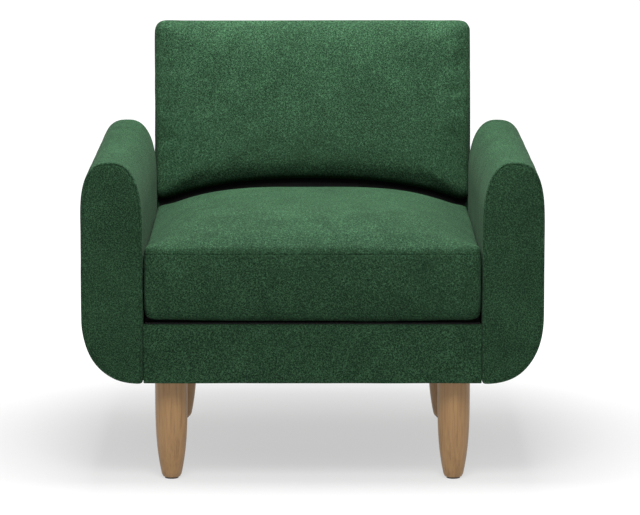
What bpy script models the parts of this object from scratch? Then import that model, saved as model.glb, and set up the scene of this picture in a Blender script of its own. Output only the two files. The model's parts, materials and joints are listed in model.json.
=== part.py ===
"""An upholstered armchair on four turned wooden legs, built as its separate pieces.

The seat is a box of wooden rails with corner blocks, springs, an insulator and a deck pad. Two padded arms
bolt to its sides, a reclined padded back stands on its rear, and a loose cushion with a zipped cover lies on
the deck. Metres, +Z up, the chair faces -Y and stands on the plane z = 0.
"""
import math

import bmesh
import bpy
from mathutils import Matrix, Vector

# --- Overall sizes ----------------------------------------------------------------------------------------
OVERALL_WIDTH = 0.870
OVERALL_DEPTH = 0.860
SEAT_BOX_BOTTOM = 0.1955     # underside of the wooden seat box
BACK_TOP = 0.813             # top edge of the back
GAP = 0.0003                 # between pieces that touch
NEAR = 0.0005                # how far off a plane a point may lie and still count as on it

# --- Arms -------------------------------------------------------------------------------------------------
ARM_WIDTH = 0.1165
ARM_TOP = 0.613
ARM_BELOW_BOX = 0.0045       # the arms' underside below the seat box's
ARM_SHOULDER_DROP = 0.121    # height of the rounded top
ARM_STRAIGHT = 0.173         # the outer side's flat stretch, between the rounded top and bottom
ARM_TOP_FROM_INSIDE = 0.0575  # the ridge's distance from the inner face
ARM_HEEL_FROM_INSIDE = 0.0265  # where the flat underside ends and the belly begins
ARM_HEEL_RADIUS = 0.006
ARM_INNER_TOP_POWER = 2.4    # 2 is an ellipse, and more is squarer
ARM_OUTER_TOP_POWER = 2.9
ARM_BELLY_POWER = 2.0
ARM_STEPS = 6                # straight pieces in each rounded quarter
ARM_FOAM = 0.014
ARM_FRAME_AIR = 0.0025       # between the foam and the wooden frame in it
ARM_PANEL = 0.018
ARM_TOP_RAIL_DEPTH = 0.045
ARM_RAIL_SETBACK = 0.0005    # the bottom rail's lower edge above the seat box's
ARM_RAIL_DROP = 0.006        # the bottom rail's top below the opening in the arm's cover
ARM_TOP_RAIL_SHARE = 0.348   # the top rail's half width in the ridge's distance from the nearer side
ARM_TOP_RAIL_DROP = 0.016    # below the panels' ridge, where the foam still rounds over

# --- Fabric -----------------------------------------------------------------------------------------------
COVER = 0.003                # fabric with its backing
SLACK = 0.001                # between a cover and the foam in it

# --- Seat box ---------------------------------------------------------------------------------------------
BOX_TO_ARM = 0.0003
BOX_RAIL = 0.022
BOX_RAIL_HEIGHT = 0.0875
FRONT_RAIL_HEIGHT = 0.1050
FRONT_RAIL_SETBACK = 0.004   # the border's face behind the arms' faces
FRONT_COVER_RETURN = 0.018   # fabric turned over the rail's top and bottom
RAIL_TO_SKIRT = 0.0008       # between the rear rail and the back's skirt behind it
BLOCK_LEG = 0.085            # a corner block's side along the rails
BLOCK_NOSE = 0.030           # the cut corner's distance from each rail
BLOCK_HEIGHT = 0.060
BORDER_TO_ARM = 0.0003       # each end of the front border's cover
DUST_COVER = 0.0008

# --- Springs and deck -------------------------------------------------------------------------------------
SPRING_COUNT = 4
SPRING_WIRE = 0.0038
SPRING_WIDTH = 0.050
SPRING_BENDS = 15
SPRING_END_GAP = 0.0005
SPRING_RISE = 0.018
SPRING_END_DROP = 0.0025     # the springs' ends below the side rails' top
INSULATOR = 0.003
DECK = 0.010
DECK_MARGIN = 0.003

# --- Loose cushion ----------------------------------------------------------------------------------------
CUSHION_SIDE_GAP = 0.0025
CUSHION_SIDE_HEIGHT = 0.133
CUSHION_CROWN = 0.054
CUSHION_CROWN_POWER = 3.6    # how late the crown falls off towards the edges
CUSHION_REAR_GAP = 0.006     # from the back where the padding begins
CUSHION_EDGE = 0.016
CUSHION_CUTS = (0.07, 0.17, 0.33, 0.5, 0.67, 0.83, 0.93)  # shares of the depth where the crown is faceted
ZIP_LENGTH = 0.440
ZIP_HEIGHT = 0.012
ZIP_THICKNESS = 0.002
SLIDER_SIZE = (0.014, 0.004, 0.009)
CUSHION_LIFT = 0.300

# --- Back -------------------------------------------------------------------------------------------------
RECLINE_DEG = 10.0
BACK_ABOVE_BOX = 0.0045      # the slope is measured from this far above the seat box's underside
BACK_SIDE_GAP = 0.0020       # from each arm
PAD_ABOVE_DECK = 0.0142      # where the padding's front edge begins
BACK_SKIRT_START = 0.0165    # up the slope, where the outside back begins
SKIRT_TO_UPRIGHT = 0.0024    # the skirt's front edge in front of the uprights
BACK_EDGE = 0.018
BACK_FOAM = 0.0743
WEBBING = 0.0022
WEBBING_WIDTH = 0.050
WEBBING_COUNT = 3
UPRIGHT_WIDTH = 0.035
UPRIGHT_DEPTH = 0.040
UPRIGHT_INSET = 0.0195       # from the cover's outer side
UPRIGHT_TOP_INSET = 0.018
BACK_RAIL_HEIGHT = 0.045
BACK_BOTTOM_RAIL_START = 0.150
OUTSIDE_PANEL = 0.004
PANEL_AIR = 0.0046           # between the uprights and the outside panel
BRACKET = 0.003
BRACKET_LEG = 0.034
BRACKET_HEIGHT = 0.055
BRACKET_ABOVE_BOX = 0.0195   # the brackets' lower edge above the seat box's underside

# --- Legs -------------------------------------------------------------------------------------------------
LEG_TO_ARM = 0.0505          # each leg's axis from the arm's inner face
LEG_TO_BORDER = 0.0072       # the front legs' sides behind the border's turned-in fabric
LEG_REAR_INSET = 0.042       # the rear legs' axes in front of the arms' rear ends
LEG_RADIUS = 0.0308
FOOT_RADIUS = 0.0168
LEG_STRAIGHT = 0.024         # the leg's top stretch, which is straight
LEG_RINGS = 7                # in the swelling stretch below it
LEG_RING_POWER = 1.3         # packs the rings towards the foot, where the leg bends most
LEG_STEPS = 20
FOOT_ROUND = 0.0015
GLIDE_RADIUS = 0.013
GLIDE_HEIGHT = 0.003
STUD_RADIUS = 0.004
STUD_IN_LEG = 0.040
STUD_IN_BLOCK = 0.050
BORE_CLEARANCE = 0.0004
ARM_BOLT_RADIUS = 0.003
ARM_BOLT_HEAD_RADIUS = 0.007
ARM_BOLT_HEAD = 0.004
ARM_BOLT_ABOVE_BOX = 0.0665
ARM_BOLT_FROM_FRONT_BLOCK = 0.015
ARM_BOLT_FROM_REAR_BLOCK = 0.083
ARM_BOLT_TIP_GAP = 0.002     # the bolt ends this far short of the arm rail's outer face

# --- Derived places ---------------------------------------------------------------------------------------
FRONT_Y = -OVERALL_DEPTH / 2
ARM_INNER = OVERALL_WIDTH / 2 - ARM_WIDTH
ARM_BOTTOM = SEAT_BOX_BOTTOM - ARM_BELOW_BOX
ARM_BELLY_RISE = ARM_TOP - ARM_SHOULDER_DROP - ARM_STRAIGHT - ARM_BOTTOM
BOX_HALF = ARM_INNER - BOX_TO_ARM
BOX_TOP = SEAT_BOX_BOTTOM + BOX_RAIL_HEIGHT
FRONT_RAIL_TOP = SEAT_BOX_BOTTOM + FRONT_RAIL_HEIGHT
FRONT_COVER_TOP = FRONT_RAIL_TOP + GAP + COVER

SPRING_END_Z = BOX_TOP - SPRING_END_DROP
SPRING_SPACING = 2 * (BOX_HALF - BOX_RAIL) / SPRING_COUNT
INSULATOR_Z = SPRING_END_Z + SPRING_RISE + SPRING_WIRE / 2 + GAP
DECK_Z = max(INSULATOR_Z + INSULATOR, FRONT_COVER_TOP) + GAP
CUSHION_BOTTOM = DECK_Z + DECK + GAP

RECLINE = math.radians(RECLINE_DEG)
WEBBING_Y = COVER + GAP + BACK_FOAM + GAP
UPRIGHT_Y = WEBBING_Y + WEBBING + GAP
PAD_REAR_Y = UPRIGHT_Y + UPRIGHT_DEPTH + PANEL_AIR + OUTSIDE_PANEL
SKIRT_FRONT_Y = UPRIGHT_Y - SKIRT_TO_UPRIGHT
BACK_FOOT_Z = SEAT_BOX_BOTTOM + BACK_ABOVE_BOX
BACK_PAD_START = (DECK_Z + DECK + PAD_ABOVE_DECK - BACK_FOOT_Z) / math.cos(RECLINE)
BACK_LENGTH = (BACK_TOP - BACK_FOOT_Z + BACK_EDGE * math.sin(RECLINE)) / math.cos(RECLINE)
BACK_FOOT_Y = OVERALL_DEPTH / 2 - PAD_REAR_Y * math.cos(RECLINE) - BACK_LENGTH * math.sin(RECLINE)
BACK_HALF = ARM_INNER - BACK_SIDE_GAP
UPRIGHT_OUTER = BACK_HALF - UPRIGHT_INSET
UPRIGHT_INNER = UPRIGHT_OUTER - UPRIGHT_WIDTH
PANEL_INSET = COVER + GAP

COVER_FRONT_Y = FRONT_Y + FRONT_RAIL_SETBACK
RAIL_FRONT_Y = COVER_FRONT_Y + COVER + GAP
RAIL_FRONT_BACK_Y = RAIL_FRONT_Y + BOX_RAIL
REAR_RAIL_FACE_Y = BACK_FOOT_Y + SKIRT_FRONT_Y * math.cos(RECLINE) - RAIL_TO_SKIRT
REAR_RAIL_Y = REAR_RAIL_FACE_Y - BOX_RAIL
ARM_LENGTH = REAR_RAIL_FACE_Y - FRONT_Y
ARM_BOLT_Z = SEAT_BOX_BOTTOM + ARM_BOLT_ABOVE_BOX
ARM_BOLT_Y = (RAIL_FRONT_BACK_Y + BLOCK_LEG + ARM_BOLT_FROM_FRONT_BLOCK,
              REAR_RAIL_Y - BLOCK_LEG - ARM_BOLT_FROM_REAR_BLOCK)

CUSHION_HALF = ARM_INNER - CUSHION_SIDE_GAP
PAD_FRONT_Y = BACK_FOOT_Y + BACK_PAD_START * math.tan(RECLINE)
CUSHION_DEPTH = PAD_FRONT_Y - CUSHION_REAR_GAP - FRONT_Y

LEG_TOP = SEAT_BOX_BOTTOM - GAP - DUST_COVER - GAP
LEG_TAPER_HEIGHT = LEG_TOP - LEG_STRAIGHT
LEG_X = ARM_INNER - LEG_TO_ARM
LEG_FRONT_Y = COVER_FRONT_Y + FRONT_COVER_RETURN + LEG_TO_BORDER + LEG_RADIUS
LEG_REAR_Y = REAR_RAIL_FACE_Y - LEG_REAR_INSET

SIDES = (("left", -1), ("right", 1))


# --- Scene, materials and objects -------------------------------------------------------------------------
def clear_scene():
    """Remove every object that the file opened with."""
    for thing in list(bpy.data.objects):
        bpy.data.objects.remove(thing, do_unlink=True)


def make_collection(name):
    """Return a new collection linked to the scene."""
    collection = bpy.data.collections.new(name)
    bpy.context.scene.collection.children.link(collection)
    return collection


def make_material(name, colour, roughness, metallic=0.0):
    """Return a Principled material of one colour."""
    material = bpy.data.materials.new(name)
    material.use_nodes = True
    shader = material.node_tree.nodes["Principled BSDF"]
    shader.inputs["Base Color"].default_value = (*colour, 1.0)
    shader.inputs["Roughness"].default_value = roughness
    shader.inputs["Metallic"].default_value = metallic
    return material


clear_scene()
CHAIR = make_collection("armchair")
GREEN_PILE = make_material("green_pile_fabric", (0.060, 0.130, 0.068), 0.85)
LEG_WOOD = make_material("leg_wood", (0.380, 0.235, 0.110), 0.45)
FRAME_WOOD = make_material("frame_wood", (0.560, 0.420, 0.260), 0.70)
FOAM = make_material("foam", (0.780, 0.740, 0.600), 0.95)
FELT = make_material("felt", (0.300, 0.300, 0.290), 0.95)
BLACK_CLOTH = make_material("black_cloth", (0.015, 0.015, 0.016), 0.90)
STEEL = make_material("zinc_steel", (0.560, 0.560, 0.580), 0.35, 1.0)
ZIP_TAPE = make_material("zip_tape", (0.050, 0.090, 0.055), 0.70)
GLIDE_PLASTIC = make_material("glide_plastic", (0.060, 0.055, 0.050), 0.55)


def add_object(name, data, material, matrix=Matrix()):
    """Link a new object to the chair with its material and place."""
    thing = bpy.data.objects.new(name, data)
    thing.matrix_world = matrix
    data.materials.append(material)
    CHAIR.objects.link(thing)
    return thing


def add_mesh(name, bm, material, matrix=Matrix()):
    """Turn a bmesh into an object, with its faces' normals outward."""
    bmesh.ops.recalc_face_normals(bm, faces=bm.faces)
    mesh = bpy.data.meshes.new(name)
    bm.to_mesh(mesh)
    bm.free()
    return add_object(name, mesh, material, matrix)


def smooth(thing):
    """Shade a round piece smooth, with its corners left sharp."""
    for face in thing.data.polygons:
        face.use_smooth = True
    thing.data.set_sharp_from_angle(angle=math.radians(35))


def solidify(thing, thickness):
    """Give an open surface a wall on its inner side."""
    wall = thing.modifiers.new("wall", "SOLIDIFY")
    wall.thickness = thickness
    wall.offset = -1.0
    wall.use_even_offset = True
    wall.use_quality_normals = True


def block_mesh(low, high):
    """Return a bmesh box between two corners, starting from a unit cube."""
    bm = bmesh.new()
    bmesh.ops.create_cube(bm, size=1.0)
    low, high = Vector(low), Vector(high)
    bmesh.ops.scale(bm, vec=high - low, verts=bm.verts)
    bmesh.ops.translate(bm, vec=(low + high) / 2, verts=bm.verts)
    return bm


def add_block(name, low, high, material, matrix=Matrix()):
    """Add a plain box between two corners, with its own origin at its middle."""
    low, high = Vector(low), Vector(high)
    half = (high - low) / 2
    place = matrix @ Matrix.Translation((low + high) / 2)
    return add_mesh(name, block_mesh(-half, half), material, place)


def round_edges(bm, chosen, radius, segments):
    """Bevel the edges that a test chooses."""
    edges = [edge for edge in bm.edges if chosen(*(vert.co for vert in edge.verts))]
    bmesh.ops.bevel(bm, geom=edges, offset=radius, segments=segments, profile=0.5, affect="EDGES",
                    clamp_overlap=True)


def circle_points(centre, radius, count=12):
    """Return the corners of a round hole, as points of a flat outline."""
    turns = [2 * math.pi * step / count for step in range(count)]
    return [(centre[0] + radius * math.cos(turn), centre[1] + radius * math.sin(turn)) for turn in turns]


def add_board(name, outlines, thickness, material, matrix):
    """Add a flat board: the first outline is its edge and the others are its holes."""
    curve = bpy.data.curves.new(name, "CURVE")
    curve.dimensions = "2D"
    curve.fill_mode = "BOTH"
    curve.extrude = thickness / 2
    for outline in outlines:
        spline = curve.splines.new("POLY")
        spline.points.add(len(outline) - 1)
        for point, (x, y) in zip(spline.points, outline):
            point.co = (x, y, 0.0, 1.0)
        spline.use_cyclic_u = True
    return add_object(name, curve, material, matrix)


def rectangle(x0, y0, x1, y1):
    """Return a rectangle's corners, counter-clockwise."""
    return [(x0, y0), (x1, y0), (x1, y1), (x0, y1)]


def add_turned(name, profile, steps, material, matrix=Matrix()):
    """Turn a profile of (radius, height) points, listed from its top down the outer side."""
    mesh = bpy.data.meshes.new(name)
    mesh.from_pydata([(radius, 0.0, height) for radius, height in profile],
                     [(i, i + 1) for i in range(len(profile) - 1)], [])
    thing = add_object(name, mesh, material, matrix)
    lathe = thing.modifiers.new("lathe", "SCREW")
    lathe.axis = "Z"
    lathe.steps = steps
    lathe.render_steps = steps
    lathe.use_merge_vertices = True
    lathe.merge_threshold = GAP / 10
    lathe.use_smooth_shade = True
    return thing


# Boards stand in planes: these turn a board's own X and Y to the chair's axes.
ON_XZ = Matrix(((1, 0, 0, 0), (0, 0, -1, 0), (0, 1, 0, 0), (0, 0, 0, 1)))
ON_YZ = Matrix(((0, 0, 1, 0), (1, 0, 0, 0), (0, 1, 0, 0), (0, 0, 0, 1)))


# --- Arms -------------------------------------------------------------------------------------------------
def quarter(centre, across, up, power, start_deg, inset):
    """Return a rounded quarter of the arm's outline, turning clockwise and moved inward by an inset.

    It is squarer than an ellipse when power is over 2.
    """
    points = []
    for step in range(ARM_STEPS + 1):
        turn = math.radians(start_deg - 90 * step / ARM_STEPS)
        cosine, sine = math.cos(turn), math.sin(turn)
        x = math.copysign(abs(cosine) ** (2 / power), cosine)
        z = math.copysign(abs(sine) ** (2 / power), sine)
        slope_x = math.copysign(abs(x) ** (power - 1), x) / across
        slope_z = math.copysign(abs(z) ** (power - 1), z) / up
        outward = Vector((slope_x, slope_z))
        outward.normalize()
        points.append((centre[0] + across * x - inset * outward.x, centre[1] + up * z - inset * outward.y))
    return points


def arm_outline(inset):
    """Return the arm's front outline, moved inward by an inset.

    It runs from the inner side over the top to the underside, as (distance from the chair's middle, height).
    """
    top = (ARM_INNER + ARM_TOP_FROM_INSIDE, ARM_TOP - ARM_SHOULDER_DROP)
    belly = (ARM_INNER + ARM_HEEL_FROM_INSIDE, ARM_BOTTOM + ARM_BELLY_RISE)
    outer = OVERALL_WIDTH / 2
    radius = max(ARM_HEEL_RADIUS - inset, 0.0)
    points = [(ARM_INNER + inset, ARM_BOTTOM + inset + radius)]
    points += quarter(top, top[0] - ARM_INNER, ARM_SHOULDER_DROP, ARM_INNER_TOP_POWER, 180, inset)
    points += quarter(top, outer - top[0], ARM_SHOULDER_DROP, ARM_OUTER_TOP_POWER, 90, inset)[1:]
    points += quarter(belly, outer - belly[0], ARM_BELLY_RISE, ARM_BELLY_POWER, 0, inset)
    if radius > 0:
        points.append((ARM_INNER + inset + radius, ARM_BOTTOM + inset))
    return points


def add_arm_shell(name, side, inset, thickness, material):
    """Add a wrapped skin of the arm: its front, rear, top and outer side.

    It is open on the lower inner side, where the arm bolts to the seat box.
    """
    outline = arm_outline(inset)
    window = FRONT_COVER_TOP - GAP
    outline.insert(1, (ARM_INNER + inset, window))
    bm = bmesh.new()
    verts = [bm.verts.new((side * x, FRONT_Y + inset, z)) for x, z in outline]
    front = bm.faces.new(verts)
    moved = bmesh.ops.extrude_face_region(bm, geom=[front])["geom"]
    lifted = [item for item in moved if isinstance(item, bmesh.types.BMVert)]
    bmesh.ops.translate(bm, vec=(0.0, ARM_LENGTH - 2 * inset, 0.0), verts=lifted)
    middle = FRONT_Y + ARM_LENGTH / 2
    heel = ARM_INNER + ARM_HEEL_FROM_INSIDE
    for face in list(bm.faces):
        at = face.calc_center_median()
        if abs(at.y - middle) < ARM_LENGTH / 4 and abs(at.x) < heel and at.z < window:
            bm.faces.remove(face)
    shell = add_mesh(name, bm, material)
    solidify(shell, thickness)
    smooth(shell)


def add_arm_frame(name, side):
    """Add the wooden pieces in one arm: two shaped panels, a top rail and a bottom rail."""
    inset = COVER + GAP + ARM_FOAM + ARM_FRAME_AIR
    outline = [(side * x, z) for x, z in arm_outline(inset)]
    front = FRONT_Y + inset + ARM_PANEL / 2
    rear = REAR_RAIL_FACE_Y - inset - ARM_PANEL / 2
    for place, y in (("front", front), ("rear", rear)):
        matrix = Matrix.Translation((0, y, 0)) @ ON_XZ
        add_board(f"arm_{place}_panel_{name}", [outline], ARM_PANEL, FRAME_WOOD, matrix)
    low_y = front + ARM_PANEL / 2 + GAP
    high_y = rear - ARM_PANEL / 2 - GAP
    centre = side * (ARM_INNER + ARM_TOP_FROM_INSIDE)
    half = ARM_TOP_RAIL_SHARE * min(ARM_TOP_FROM_INSIDE, ARM_WIDTH - ARM_TOP_FROM_INSIDE)
    top = ARM_TOP - inset - ARM_TOP_RAIL_DROP
    add_block(f"arm_top_rail_{name}", (centre - half, low_y, top - ARM_TOP_RAIL_DEPTH),
              (centre + half, high_y, top), FRAME_WOOD)
    board = rectangle(FRONT_Y + inset, SEAT_BOX_BOTTOM + ARM_RAIL_SETBACK, REAR_RAIL_FACE_Y - inset,
                      FRONT_COVER_TOP - ARM_RAIL_DROP)
    holes = [circle_points((y, ARM_BOLT_Z), ARM_BOLT_RADIUS + BORE_CLEARANCE) for y in ARM_BOLT_Y]
    thickness = inset - 2 * GAP
    place = Matrix.Translation((side * (ARM_INNER + GAP / 2 + thickness / 2), 0, 0)) @ ON_YZ
    add_board(f"arm_bottom_rail_{name}", [board, *holes], thickness, FRAME_WOOD, place)


def build_arms():
    """Build both arms and the bolts that hold them to the seat box."""
    for name, side in SIDES:
        add_arm_shell(f"arm_cover_{name}", side, 0.0, COVER, GREEN_PILE)
        add_arm_shell(f"arm_foam_{name}", side, COVER + GAP, ARM_FOAM, FOAM)
        add_arm_frame(name, side)
        head = BOX_HALF - BOX_RAIL - GAP
        tip = ARM_INNER + COVER + ARM_FOAM - ARM_BOLT_TIP_GAP
        profile = [(0, tip - head), (ARM_BOLT_RADIUS, tip - head), (ARM_BOLT_RADIUS, 0),
                   (ARM_BOLT_HEAD_RADIUS, 0), (ARM_BOLT_HEAD_RADIUS, -ARM_BOLT_HEAD), (0, -ARM_BOLT_HEAD)]
        for place, y in zip(("front", "rear"), ARM_BOLT_Y):
            turn = Matrix.Rotation(side * math.pi / 2, 4, "Y")
            matrix = Matrix.Translation((side * head, y, ARM_BOLT_Z)) @ turn
            add_turned(f"arm_bolt_{place}_{name}", profile, 12, STEEL, matrix)


# --- Seat box ---------------------------------------------------------------------------------------------
def leg_places():
    """Return each leg's name and its axis, as ((side word, end word), x, y)."""
    ends = (("front", LEG_FRONT_Y), ("rear", LEG_REAR_Y))
    return [(f"{end}_{name}", side * LEG_X, y) for end, y in ends for name, side in SIDES]


def build_seat_rails():
    """Build the four rails of the seat box."""
    add_block("seat_front_rail", (-BOX_HALF, RAIL_FRONT_Y, SEAT_BOX_BOTTOM),
              (BOX_HALF, RAIL_FRONT_BACK_Y, FRONT_RAIL_TOP), FRAME_WOOD)
    add_block("seat_rear_rail", (-BOX_HALF, REAR_RAIL_Y, SEAT_BOX_BOTTOM),
              (BOX_HALF, REAR_RAIL_FACE_Y, BOX_TOP), FRAME_WOOD)
    board = rectangle(RAIL_FRONT_BACK_Y + GAP, SEAT_BOX_BOTTOM, REAR_RAIL_Y - GAP, BOX_TOP)
    holes = [circle_points((y, ARM_BOLT_Z), ARM_BOLT_RADIUS + BORE_CLEARANCE) for y in ARM_BOLT_Y]
    for name, side in SIDES:
        place = Matrix.Translation((side * (BOX_HALF - BOX_RAIL / 2), 0, 0)) @ ON_YZ
        add_board(f"seat_side_rail_{name}", [board, *holes], BOX_RAIL, FRAME_WOOD, place)


def build_corner_blocks():
    """Build the blocks in the box's corners, each bored for its leg's stud."""
    inner_x = BOX_HALF - BOX_RAIL - GAP
    for place, x, y in leg_places():
        side = math.copysign(1, x)
        toward = 1 if place.startswith("front") else -1
        corner_y = RAIL_FRONT_BACK_Y + GAP if toward > 0 else REAR_RAIL_Y - GAP
        shape = [(0, 0), (BLOCK_LEG, 0), (BLOCK_LEG, BLOCK_NOSE), (BLOCK_NOSE, BLOCK_LEG), (0, BLOCK_LEG)]
        outline = [(side * (inner_x - across), corner_y + toward * along) for across, along in shape]
        bore = circle_points((x, y), STUD_RADIUS + BORE_CLEARANCE)
        matrix = Matrix.Translation((0, 0, SEAT_BOX_BOTTOM + BLOCK_HEIGHT / 2))
        add_board(f"corner_block_{place}", [outline, bore], BLOCK_HEIGHT, FRAME_WOOD, matrix)


def build_springs():
    """Build the sinuous springs that run from the front rail to the rear rail, arched upwards."""
    start = RAIL_FRONT_BACK_Y + SPRING_END_GAP + SPRING_WIRE / 2
    end = REAR_RAIL_Y - SPRING_END_GAP - SPRING_WIRE / 2
    for number in range(SPRING_COUNT):
        middle = (number - (SPRING_COUNT - 1) / 2) * SPRING_SPACING
        curve = bpy.data.curves.new(f"seat_spring_{number + 1}", "CURVE")
        curve.dimensions = "3D"
        curve.bevel_depth = SPRING_WIRE / 2
        curve.bevel_resolution = 2
        curve.use_fill_caps = True
        spline = curve.splines.new("POLY")
        spline.points.add(2 * SPRING_BENDS - 1)
        for index, point in enumerate(spline.points):
            share = index / (2 * SPRING_BENDS - 1)
            side = -1 if ((index + 1) // 2) % 2 else 1
            rise = SPRING_RISE * math.sin(math.pi * share)
            point.co = (side * SPRING_WIDTH / 2, start + (end - start) * share, SPRING_END_Z + rise, 1.0)
        add_object(f"seat_spring_{number + 1}", curve, STEEL, Matrix.Translation((middle, 0, 0)))


def build_seat_covers():
    """Build the insulator, the deck pad, the dust cover and the front border's cover."""
    low_y = RAIL_FRONT_BACK_Y + DECK_MARGIN
    high_y = REAR_RAIL_Y - DECK_MARGIN
    half = BOX_HALF - BOX_RAIL / 2
    add_block("spring_insulator", (-half, low_y, INSULATOR_Z), (half, high_y, INSULATOR_Z + INSULATOR), FELT)
    add_block("seat_deck_pad", (-BOX_HALF + DECK_MARGIN, COVER_FRONT_Y + BOX_RAIL / 2, DECK_Z),
              (BOX_HALF - DECK_MARGIN, PAD_FRONT_Y, DECK_Z + DECK), BLACK_CLOTH)
    outline = rectangle(-BOX_HALF + DECK_MARGIN, COVER_FRONT_Y + FRONT_COVER_RETURN + GAP,
                        BOX_HALF - DECK_MARGIN, REAR_RAIL_FACE_Y - DECK_MARGIN)
    holes = [circle_points((x, y), STUD_RADIUS + BORE_CLEARANCE) for _, x, y in leg_places()]
    middle = SEAT_BOX_BOTTOM - GAP - DUST_COVER / 2
    add_board("dust_cover", [outline, *holes], DUST_COVER, BLACK_CLOTH, Matrix.Translation((0, 0, middle)))
    build_front_cover()


def build_front_cover():
    """Wrap the front rail: its face, and a return over its top and under its bottom edge."""
    low_z = SEAT_BOX_BOTTOM - GAP - COVER
    section = [(FRONT_COVER_RETURN, low_z), (0, low_z),
               (0, FRONT_COVER_TOP), (FRONT_COVER_RETURN, FRONT_COVER_TOP)]
    inner = [(FRONT_COVER_RETURN, FRONT_COVER_TOP - COVER), (COVER, FRONT_COVER_TOP - COVER),
             (COVER, low_z + COVER), (FRONT_COVER_RETURN, low_z + COVER)]
    outline = [(COVER_FRONT_Y + y, z) for y, z in section + inner]
    half = BOX_HALF - BORDER_TO_ARM
    add_board("front_rail_cover", [outline], 2 * half, GREEN_PILE, ON_YZ)


# --- Loose cushion ----------------------------------------------------------------------------------------
def cushion_mesh(inset):
    """Return the cushion's outer form, shrunk by an inset, with a crowned top and flat sides."""
    half = CUSHION_HALF - inset
    low_y = FRONT_Y + inset
    high_y = FRONT_Y + CUSHION_DEPTH - inset
    low_z = CUSHION_BOTTOM + inset
    high_z = CUSHION_BOTTOM + CUSHION_SIDE_HEIGHT - inset
    bm = block_mesh((-half, low_y, low_z), (half, high_y, high_z))
    round_edges(bm, lambda a, b: True, CUSHION_EDGE - inset, 2)
    ends = (half + ZIP_LENGTH / 2) / 2
    stations = (-ends, -ZIP_LENGTH / 2, -ZIP_LENGTH / 4, 0, ZIP_LENGTH / 4, ZIP_LENGTH / 2, ends)
    cuts = [((x, 0, 0), (1, 0, 0)) for x in stations]
    cuts += [((0, low_y + (high_y - low_y) * share, 0), (0, 1, 0)) for share in CUSHION_CUTS]
    zip_z = (low_z + high_z) / 2
    cuts += [((0, 0, zip_z + side * (ZIP_HEIGHT / 2 + GAP)), (0, 0, 1)) for side in (-1, 1)]
    for point, normal in cuts:
        everything = bm.verts[:] + bm.edges[:] + bm.faces[:]
        bmesh.ops.bisect_plane(bm, geom=everything, plane_co=point, plane_no=normal)
    middle_y = (low_y + high_y) / 2
    reach_x = half - CUSHION_EDGE
    reach_y = (high_y - low_y) / 2 - CUSHION_EDGE
    for vert in bm.verts:
        if vert.co.z > high_z - NEAR:
            across = min(abs(vert.co.x) / reach_x, 1.0)
            along = min(abs(vert.co.y - middle_y) / reach_y, 1.0)
            fall = (1 - across ** CUSHION_CROWN_POWER) * (1 - along ** CUSHION_CROWN_POWER)
            vert.co.z += CUSHION_CROWN * fall
    return bm, zip_z


def build_cushion():
    """Build the foam core, its cover with an opening for the zip, the zip and its slider."""
    core, _ = cushion_mesh(COVER + SLACK)
    smooth(add_mesh("seat_cushion_foam", core, FOAM))
    bm, zip_z = cushion_mesh(0.0)
    rear = FRONT_Y + CUSHION_DEPTH
    for face in list(bm.faces):
        at = face.calc_center_median()
        if at.y > rear - NEAR and abs(at.x) < ZIP_LENGTH / 2 and abs(at.z - zip_z) < ZIP_HEIGHT / 2:
            bm.faces.remove(face)
    cover = add_mesh("seat_cushion_cover", bm, GREEN_PILE)
    solidify(cover, COVER)
    smooth(cover)
    half = ZIP_LENGTH / 2 - GAP
    zip_front = rear - (COVER + ZIP_THICKNESS) / 2
    add_block("seat_cushion_zip", (-half, zip_front, zip_z - ZIP_HEIGHT / 2),
              (half, zip_front + ZIP_THICKNESS, zip_z + ZIP_HEIGHT / 2), ZIP_TAPE)
    size_x, size_y, size_z = SLIDER_SIZE
    slider_y = zip_front + ZIP_THICKNESS + GAP
    add_block("zip_slider", (-half + GAP, slider_y, zip_z - size_z / 2),
              (-half + GAP + size_x, slider_y + size_y, zip_z + size_z / 2), STEEL)


# --- Back -------------------------------------------------------------------------------------------------
def back_matrix():
    """Return the back's own frame: X across, Y into its thickness, Z up its slope."""
    return Matrix.Translation((0, BACK_FOOT_Y, BACK_FOOT_Z)) @ Matrix.Rotation(-RECLINE, 4, "X")


def add_back_pieces(parent_matrix):
    """Build the wooden frame, webbing, foam, cover and outside panel of the back, in its own frame."""
    post_top = BACK_LENGTH - UPRIGHT_TOP_INSET
    post_y = (UPRIGHT_Y, UPRIGHT_Y + UPRIGHT_DEPTH)
    for name, side in SIDES:
        near, far = sorted((side * UPRIGHT_INNER, side * UPRIGHT_OUTER))
        add_block(f"back_upright_{name}", (near, post_y[0], BACK_SKIRT_START + GAP),
                  (far, post_y[1], post_top), FRAME_WOOD, parent_matrix)
    inner = UPRIGHT_INNER - GAP
    rails = (("top", post_top - BACK_RAIL_HEIGHT), ("bottom", BACK_BOTTOM_RAIL_START))
    for name, start in rails:
        add_block(f"back_{name}_rail", (-inner, post_y[0], start),
                  (inner, post_y[1], start + BACK_RAIL_HEIGHT), FRAME_WOOD, parent_matrix)
    first = BACK_BOTTOM_RAIL_START + BACK_RAIL_HEIGHT
    step = (post_top - BACK_RAIL_HEIGHT - first) / (WEBBING_COUNT + 1)
    for number in range(WEBBING_COUNT):
        middle = first + step * (number + 1)
        add_block(f"back_webbing_{number + 1}", (-UPRIGHT_OUTER, WEBBING_Y, middle - WEBBING_WIDTH / 2),
                  (UPRIGHT_OUTER, WEBBING_Y + WEBBING, middle + WEBBING_WIDTH / 2), BLACK_CLOTH,
                  parent_matrix)
    build_back_padding(parent_matrix)


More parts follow.
